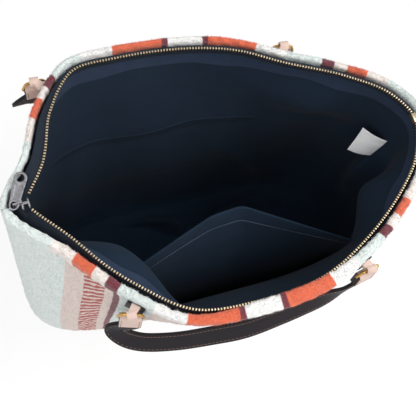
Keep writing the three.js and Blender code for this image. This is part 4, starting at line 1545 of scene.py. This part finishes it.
@dataclass
class ZipFastener:
    """The open zip: two tapes, two rows of brass teeth, the end stop, the slider and its pull."""

    form: BagForm
    inset: float = 12.5
    inset_left: float = 8.0
    left_reach: Pair = (0.1, 0.16)
    tape_thickness: float = 0.8
    tape_bottom: float = 276.5
    tape_below: float = 2.2
    tape_bend: float = 0.6
    tape_bulge: float = 0.6
    tape_columns: int = 300
    tape_rows: int = 10
    end_gap: float = 0.0005
    foot: float = 8.7
    steep_gap: float = 0.2
    steep_drop: float = 0.4
    pitch: float = 2.6
    tooth: Triple = (1.3, 2.1, 2.8)
    head_inset: float = 0.28
    head_height: float = 0.22
    rise: float = 0.4
    sink: float = 3.6
    sink_share: float = 0.27
    sink_reach: float = 0.13
    slider_clear: float = 6.0
    stop_clear: float = 5.1
    slider_room: float = 5.8
    stop_room: float = 3.2
    room_drop: float = 0.35

    def line(self, share: Any, back: Any = 0.0) -> Array:
        """Points of the zip's line at the rim's height, or standing back from it toward the wool.

        Args:
            share: Shares round the mouth.
            back: How far to stand back.

        Returns:
            Points in millimetres.
        """
        turn = np.mod(share, 1.0)
        past = np.minimum(turn, 1 - turn)
        front, rear = (hump(past, 0.0, reach) for reach in self.left_reach)
        inset = self.inset + self.inset_left * np.where(turn > 0.5, rear, front) - back
        return self.form.inside(share, inset, self.form.rim_height)

    def sunk(self, share: Array) -> Array:
        """How far the zip lies below the rim, where the front hem sags over it."""
        return self.sink * hump(np.mod(share, 1.0), self.sink_share, self.sink_reach)

    def ends(self, side: Side) -> Pair:
        """First and last share of one row of teeth, clear of the slider and the end stop.

        Args:
            side: Which row.

        Returns:
            Two shares round the mouth.
        """
        along = np.cross(UP, self.form.inward(0.0, self.form.rim_height))
        tries = np.linspace(0, 0.05, 1001)
        clear = np.abs((self.line(side.sense * tries) - self.line(0.0)) @ along) >= self.slider_clear
        slot = float(tries[int(np.argmax(clear))])
        near = 0.004
        probe = self.line(np.array([0.5 - near, 0.5 + near]))
        stop = 2 * near * self.stop_clear / float(np.linalg.norm(probe[1] - probe[0]))
        return (slot, 0.5 - stop) if side is Side.FRONT else (0.5 + stop, 1 - slot)

    def tape(self, side: Side) -> None:
        """One tape, from the lining's edge up to the teeth.

        Args:
            side: Which tape.
        """
        slider_end, stop_end = self.ends(side)[:: side.sense]
        first, last = side.value[1] + self.end_gap, side.value[2] - self.end_gap
        top = self.form.rim_height + self.rise - self.tape_below
        rail = lengths(self.line(np.linspace(first, last, 400)))[-1]
        bent = self.tape_bend

        def place(step: Array, row: Array) -> Array:
            """Points up the tape, steep against the back wool, standing back from slider and end stop.

            Args:
                step: Shares across.
                row: Shares along.

            Returns:
                Points in millimetres.
            """
            share = first + (last - first) * step
            back = np.where(side.sense * (share - slider_end) < 0, self.slider_room, 0.0)
            back = np.where(side.sense * (share - stop_end) > 0, self.stop_room, back)
            low = self.form.inside(share, self.foot, self.tape_bottom)
            high = self.line(share, back)
            high[:, 2] = top - self.room_drop * back - self.sunk(share)
            bend = low + (high - low) * bent + self.form.inward(share, self.tape_bottom) * self.tape_bulge
            if side is Side.BACK:
                bend = self.form.inside(share, self.foot + self.steep_gap, high[:, 2] - self.steep_drop)
            climb = np.clip(row / bent, 0, 1)[:, None]
            over = np.clip((row - bent) / (1 - bent), 0, 1)[:, None]
            return low + (bend - low) * climb + (high - bend) * over

        steps = np.linspace(0.02, 0.98, 60)
        rungs = [place(steps, np.full_like(steps, row)) for row in (0.0, bent, 1.0)]
        breadth = sum(float(np.linalg.norm(b - a, axis=1).mean()) for a, b in zip(rungs[:-1], rungs[1:]))

        def flat(step: Array, row: Array) -> Array:
            """Lengths along and up the tape."""
            return pair(step * rail, row * breadth)

        name = f"zip_tape_cloth_{side.label}"
        piece = Bench.sheet(name, self.tape_columns, self.tape_rows, place, flat)
        Bench.thicken(piece, self.tape_thickness)
        Bench.finish(piece, TAPE_CLOTH, "bag", "navy", [f"zip_tape_{side.label}"], 60.0)
        f"wool_{side.label}"

    def tooth_pattern(self) -> Piece:
        """One tooth: a clamped block with a raised head, its edges rounded.

        Returns:
            The tooth at the origin.
        """
        piece = Bench.add(bpy.ops.mesh.primitive_cube_add, "tooth_pattern", size=MM)
        with Bench.editing(piece):
            bpy.ops.transform.resize(value=self.tooth, center_override=(0, 0, 0))
            bpy.ops.mesh.select_all(action="DESELECT")
        for face in piece.data.polygons:
            face.select = face.normal.z > 0.9
        bpy.ops.object.mode_set(mode="EDIT")
        bpy.ops.mesh.inset(thickness=self.head_inset * MM, depth=self.head_height * MM)
        bpy.ops.object.mode_set(mode="OBJECT")
        Bench.round_edges(piece, 0.16, 1, 30.0)
        return piece

    def teeth(self, side: Side) -> None:
        """One row of teeth.

        Args:
            side: Which row.
        """
        shares = np.linspace(*self.ends(side), 1200)
        path = self.line(shares)
        path[:, 2] += self.rise - self.tooth[2] / 2 - self.head_height - self.sunk(shares)
        run = lengths(path)
        goal = np.arange(self.pitch / 2, run[-1], self.pitch)
        along = unit(walk(path, run, goal + 0.5) - walk(path, run, goal - 0.5))
        frames = frames_of(along, unit(np.cross(UP, along)), walk(path, run, goal))
        piece = Bench.repeat(f"zip_teeth_{side.label}", self.tooth_pattern(), frames)
        Bench.finish(piece, TOOTH_BRASS, "bag", "brass", [f"zip_chain_{side.label}"])

    @staticmethod
    def small_metal(name: str, node: str, body: str, slot: str, finish: Finish, edge: float) -> None:
        """A metal piece on its CAD shape with softened edges.

        Args:
            name: The piece's name.
            node: The CAD node that it stands for.
            body: The body that it rides on.
            slot: Name of a material slot, handed on to Bench.finish.
            finish: Its finish.
            edge: Width of its rounded edges in millimetres.
        """
        piece = Bench.from_node(name, node)
        Bench.round_edges(piece, edge, 2, 30.0)
        Bench.finish(piece, finish, body, slot, [node])

    def build(self) -> None:
        """Make the zip."""
        for side in Side:
            self.tape(side)
            self.teeth(side)
        self.small_metal("zip_stop", "zip_end_stop", "bag", "brass", TOOTH_BRASS, 0.3)
        self.small_metal("slider_body", "zip_slider", "zip_slider", "nickel", PULL_NICKEL, 0.28)
        self.small_metal("pull_tag", "zip_pull", "zip_pull", "nickel", PULL_NICKEL, 0.3)


@dataclass
class RingPlace:
    """Where one ring hangs: length along the rim from its middle, reach from the wool and turn in degrees."""

    form: BagForm
    side: Side
    hand: str
    arc: float
    tab_reach: float
    turn: float
    drop: float = 9.0
    ring_reach: float = 11.0
    ring_lean: float = 2.0
    end_angle: float = 8.0

    def __post_init__(self) -> None:
        """Work out the ring's spot and axes."""
        share = (self.form.front_share if self.side is Side.FRONT else self.form.back_share)(self.arc)
        height = self.form.rim_height - self.drop
        self.name = f"{self.side.label}_{self.hand}"
        self.wall_out = -self.form.inward(share, height)
        self.wall_spot = self.form.wall(share, height)
        self.spot = self.wall_spot + self.wall_out * self.tab_reach
        angle = math.radians(self.turn)
        self.bar = np.array([math.cos(angle), math.sin(angle), 0.0])
        self.out = level_out(self.bar, self.wall_out)
        self.ring_hang = self.hang(self.ring_lean)
        self.end_hang = self.hang(self.end_angle)
        self.outer_bar = self.spot + self.ring_hang * self.ring_reach

    def hang(self, angle: float) -> Array:
        """Direction that leans out from straight down by an angle in degrees."""
        return self.out * math.sin(math.radians(angle)) - UP * math.cos(math.radians(angle))


@dataclass
class Handle:
    """One strap handle with its two folded ends, rings and ring tabs."""

    side: Side
    left: RingPlace
    right: RingPlace
    width: float = 19.0
    thickness: float = 3.2
    drop: float = 69.0
    leather: float = 1.8
    end_length: float = 19.0
    end_gap: float = 0.3
    wire: float = 2.5
    wire_steps: int = 40
    corner: float = 3.0
    ring_top: float = 16.0
    clearance: float = 0.7
    strap_lead: float = 0.8
    strap_tilt: Pair = (0.74, 0.67)
    twist_marks: Tuple[float, ...] = (0, 0.09, 0.3, 0.5, 0.7, 0.91, 1)
    bow: Tuple[Triple, ...] = (
        (-1.12, 3, 0.66), (-1.07, 9.5, 0.81), (-0.93, 16.5, 0.91), (-0.64, 21.5, 0.98), (-0.28, 23, 1.0),
        (0, 23, 0.98), (0.34, 18, 0.88), (0.52, 14.5, 0.79), (0.72, 11, 0.7), (0.9, 7, 0.6),
    )
    leaf_rows: int = 14
    fold_rows: int = 15
    fold_columns: int = 12
    fold_stitches: int = 6
    fold_margins: Pair = (2.0, 2.2)
    fold_seam: float = 2.0
    sleeve_gap: float = 1.0
    sleeve_ease: float = 3.0
    span_steps: int = 30
    strap_steps: Tuple[int, int] = (10, 170)
    stitch_proud: float = 0.02
    strap_seam: float = 2.3
    strap_pitch: float = 3.6
    strap_ends: Pair = (24.0, 23.0)
    tab_foot: float = 2.4
    tab_mark: float = 9.0

    @property
    def body(self) -> str:
        """The CAD body that this handle rides on."""
        return f"{self.side.label}_handle"

    def ring(self, place: RingPlace) -> None:
        """A ring of wire drawn out from a torus, narrower at its upper bar.

        Args:
            place: Where the ring hangs.
        """
        half = np.array([self.width / 2 + self.clearance + self.wire / 2, place.ring_reach / 2])
        piece = Bench.add(
            bpy.ops.mesh.primitive_torus_add, f"{place.name}_wire", major_segments=self.wire_steps,
            minor_segments=14, major_radius=self.corner * MM, minor_radius=self.wire / 2 * MM,
        )
        turn = math.pi / self.wire_steps
        cos, sin = math.cos(turn), math.sin(turn)
        spun = Bench.points(piece) / MM @ np.array([[cos, sin, 0], [-sin, cos, 0], [0, 0, 1]])
        spun[:, :2] += np.sign(spun[:, :2]) * (half - self.corner)
        narrow = 1 - self.ring_top / 2 / half[0]
        spun[:, 0] *= 1 - narrow * np.clip(0.5 - 0.5 * spun[:, 1] / half[1], 0, 1)
        axes = np.stack([place.bar, place.ring_hang, np.cross(place.bar, place.ring_hang)])
        Bench.lay(piece, place.spot + place.ring_hang * place.ring_reach / 2 + spun @ axes)
        Bench.finish(piece, RING_GOLD, self.body, "gold", [f"{place.name}_ring"], 60.0)

    def end(self, place: RingPlace) -> None:
        """Leather folded round the ring, with stitched leaves.

        Args:
            place: Where the ring hangs.
        """
        inner = self.thickness / 2 + self.end_gap
        leaf = np.linspace(self.end_length, 0, self.leaf_rows)
        turn = np.linspace(np.pi, TURN, self.fold_rows)[1:-1]
        fold = inner * pair(np.cos(turn), np.sin(turn))
        path = np.concatenate([pair(-inner, leaf), fold, pair(inner, leaf[::-1])])
        run = lengths(path)
        rows = len(path) - 1
        axes = np.stack([np.cross(place.end_hang, place.bar), place.end_hang, place.bar])

        def point(step: Array, row: Array) -> Array:
            """Points of the folded leather."""
            wide = (step - 0.5)[:, None] * self.width
            return place.outer_bar + np.hstack([path[nearest(row, rows)], wide]) @ axes

        def flat(step: Array, row: Array) -> Array:
            """Lengths across and along the leather."""
            return pair((step - 0.5) * self.width, run_at(row, run))

        piece = Bench.sheet(f"{place.name}_fold", self.fold_columns, rows, point, flat)
        Bench.thicken(piece, self.leather, -1.0)
        Bench.round_edges(piece, 0.4, 2, 50.0)
        Bench.finish(piece, TAN_HIDE, self.body, "tan", [f"{place.name}_end"], 50.0)
        outer = inner + self.leather
        seam = self.width / 2 - self.fold_seam
        leaves = np.linspace(self.fold_margins[0], self.end_length - self.fold_margins[1], self.fold_stitches)
        spots = [(face * outer, out, edge * seam) for face in (-1, 1) for edge in (-1, 1) for out in leaves]
        frames = frames_of(place.end_hang, place.bar, place.outer_bar + np.array(spots) @ axes)
        Stitch(2.4, 0.55).sew(f"{place.name}_fold_stitches", frames, DARK_THREAD, self.body, "brown")

    def strap_path(self) -> Tuple[Array, Array, Array]:
        """Middle line of the strap, its running length and the level direction away from the bag.

        Returns:
            Points, lengths and the direction.
        """
        left, right = self.left, self.right
        mid = (left.spot + right.spot) / 2
        half = (right.spot - left.spot) / 2
        out = level_out(unit(half), left.out)
        sleeve = self.end_length + self.sleeve_gap
        reaches = (self.wire / 2 + self.strap_lead, sleeve / 2, sleeve, sleeve + self.sleeve_ease)
        path = [left.outer_bar + left.end_hang * reach for reach in reaches]
        path += [mid + half * x + out * o - UP * d * self.drop for x, o, d in self.bow]
        path += [right.outer_bar + right.end_hang * reach for reach in reversed(reaches)]
        drawn = spline(np.array(path), False, self.span_steps)
        return drawn, lengths(drawn), out

    def strap_frames(self, goal: Array) -> Tuple[Array, Array, Array]:
        """Middle, width direction and face direction at lengths along the strap.

        Args:
            goal: Lengths from the left ring.

        Returns:
            Points, width directions and face directions.
        """
        path, run, out = self.strap_path()
        near = 0.6
        ahead = walk(path, run, np.minimum(goal + near, run[-1]))
        along = unit(ahead - walk(path, run, np.maximum(goal - near, 0)))
        tilt = out * self.strap_tilt[0] - UP * self.strap_tilt[1]
        first, last = -self.left.bar, self.right.bar
        marks = np.array(self.twist_marks)
        ways = np.array([first, first, unit(first + 2 * tilt), tilt, unit(last + 2 * tilt), last, last])
        share = goal / run[-1]
        k = np.clip(np.searchsorted(marks, share), 1, len(marks) - 1)
        t = (share - marks[k - 1]) / (marks[k] - marks[k - 1])
        t = (t * t * (3 - 2 * t))[:, None]
        wide = ways[k - 1] * (1 - t) + ways[k] * t
        wide = unit(wide - along * np.sum(wide * along, axis=1, keepdims=True))
        return walk(path, run, goal), wide, np.cross(along, wide)

    def strap(self) -> None:
        """The strap, two layers of suede sewn along both edges."""
        total = float(self.strap_path()[1][-1])

        def place(step: Array, row: Array) -> Array:
            """Points of the strap's middle layer."""
            spots, wide, _ = self.strap_frames(row * total)
            return spots + wide * ((step - 0.5) * self.width)[:, None]

        def flat(step: Array, row: Array) -> Array:
            """Lengths across and along the strap."""
            return pair((step - 0.5) * self.width, row * total)

        piece = Bench.sheet(f"{self.side.label}_strap_leather", *self.strap_steps, place, flat)
        Bench.thicken(piece, self.thickness)
        Bench.round_edges(piece, 0.7, 3, 50.0)
        Bench.finish(piece, BROWN_SUEDE, self.body, "brown", [f"{self.side.label}_strap"], 50.0)
        self.strap_stitches(total)

    def strap_stitches(self, total: float) -> None:
        """Rows of stitches near both edges, on both faces.

        Args:
            total: Length of the strap.
        """
        goal = np.arange(self.strap_ends[0], total - self.strap_ends[1], self.strap_pitch)
        spots, wide, thick = self.strap_frames(goal)
        seam = wide * (self.width / 2 - self.strap_seam)
        proud = thick * (self.thickness / 2 + self.stitch_proud)
        rows = [spots + seam * edge + proud * face for edge in (-1, 1) for face in (-1, 1)]
        frames = np.concatenate([frames_of(np.cross(wide, thick), wide, row) for row in rows])
        Stitch(2.7, 0.6).sew(f"{self.side.label}_strap_stitches", frames, BROWN_THREAD, self.body, "brown")

    def tab(self, place: RingPlace) -> None:
        """The ring tab on its CAD shape, with softened leather edges; its faces close to the wool are
        coloured dark brown.

        Args:
            place: Where the ring hangs.
        """
        piece = Bench.from_node(f"{place.name}_tab_leather", f"{place.name}_tab")
        Bench.round_edges(piece, 0.5, 2, 40.0)

        def across(spots: Array) -> Array:
            """The edge coordinate, set past the edge band where a face is close to the wool, so that face
            takes the dark brown edge colour.
            """
            return self.tab_mark * ((spots - place.wall_spot) @ place.wall_out < self.tab_foot)

        Bench.mark(piece, across)
        Bench.finish(piece, TAB_HIDE, "bag", "tan", [f"{place.name}_tab"], 45.0)

    def build(self) -> None:
        """Make the handle and what holds it."""
        for place in (self.left, self.right):
            self.tab(place)
            self.ring(place)
            self.end(place)
        self.strap()


@dataclass
class Studio:
    """Pale floor, soft light and the camera, in metres."""

    lens: float = 64.9
    stand: Triple = (-0.15486, -0.17948, 0.8858)
    right: Triple = (0.9504, -0.2782, 0.1394)
    up: Triple = (0.2319, 0.9319, 0.2787)
    aim: Triple = (0.2074, 0.2326, -0.9502)
    lit_spot: Triple = (0.0, 0.0, 0.2)
    floor_radius: float = 8.0
    floor_below: float = 0.0006
    floor_glow: float = 0.8
    sky: float = 0.6

    def camera(self) -> None:
        """The camera, where the picture was taken from."""
        data = bpy.data.cameras.new("camera")
        data.lens = self.lens
        data.sensor_width = 36.0
        data.clip_start = 0.01
        seat = Bench.linked("camera", data)
        axes = Matrix([self.right, self.up, [-v for v in self.aim]]).transposed().to_4x4()
        seat.matrix_world = Matrix.Translation(Vector(self.stand)) @ axes
        bpy.context.scene.camera = seat

    def floor(self) -> None:
        """A broad pale disc that keeps the bag's shadow."""
        piece = Bench.add(
            bpy.ops.mesh.primitive_circle_add, "studio_floor", vertices=96, radius=self.floor_radius,
            fill_type="NGON", location=(0, 0, -self.floor_below),
        )
        made = bpy.data.materials.new("studio_floor")
        net = Net(made)
        pale = net.mix(net.noise(6.0) * 0.4, paint(246, 246, 246), paint(240, 240, 240))
        plain = net.node("ShaderNodeBsdfPrincipled", None, {"Base Color": pale, "Roughness": 0.9})
        glow = net.node("ShaderNodeEmission", None, {"Color": (1, 1, 1, 1), "Strength": 1.0})
        seen = net.seen("Camera", "Glossy", "Transmission") * self.floor_glow
        both = net.node("ShaderNodeMixShader", None, {0: seen, 1: plain, 2: glow})
        net.node("ShaderNodeOutputMaterial", None, {"Surface": both})
        piece.data.materials.append(made)

    def lamp(self, name: str, spot: Triple, size: float, power: float) -> None:
        """A soft square lamp aimed at the bag's mouth.

        Args:
            name: The lamp's name.
            spot: Where it stands.
            size: Length of its sides.
            power: Power in watts.
        """
        data = bpy.data.lights.new(name, "AREA")
        data.size = size
        data.energy = power
        seat = Bench.linked(name, data)
        seat.location = spot
        seat.rotation_mode = "QUATERNION"
        seat.rotation_quaternion = (Vector(self.lit_spot) - Vector(spot)).to_track_quat("-Z", "Y")

    def sky_light(self) -> None:
        """An even pale sky, white to the camera."""
        world = bpy.context.scene.world or bpy.data.worlds.new("studio")
        bpy.context.scene.world = world
        net = Net(world)
        strength = net.seen("Camera", "Transmission") * (1.0 - self.sky) + self.sky
        glow = net.node("ShaderNodeBackground", None, {"Color": (1, 1, 1, 1), "Strength": strength})
        net.node("ShaderNodeOutputWorld", None, {"Surface": glow})

    def build(self) -> None:
        """Set up the picture."""
        bpy.context.scene.view_settings.view_transform = "Standard"
        self.camera()
        self.floor()
        self.sky_light()
        self.lamp("key", (1.3, -0.3, 1.5), 1.0, 27.0)
        self.lamp("fill", (-0.75, -0.7, 1.4), 1.4, 11.0)


def main() -> None:
    """Build the bag and its studio in order."""
    logging.basicConfig(level=logging.INFO, format="%(message)s")
    form = BagForm()
    Studio().build()
    WoolBody(form).build()
    LiningBag(form).build()
    ZipFastener(form).build()
    front_left = RingPlace(form, Side.FRONT, "left", arc=-117.0, tab_reach=9.3, turn=-18.0)
    front_right = RingPlace(form, Side.FRONT, "right", arc=93.0, tab_reach=8.7, turn=11.0)
    back_left = RingPlace(form, Side.BACK, "left", arc=-129.0, tab_reach=10.5, turn=5.0)
    back_right = RingPlace(form, Side.BACK, "right", arc=100.0, tab_reach=9.0, turn=-12.0)
    Handle(Side.FRONT, front_left, front_right).build()
    Handle(Side.BACK, back_left, back_right).build()


if __name__ == "__main__":
    main()
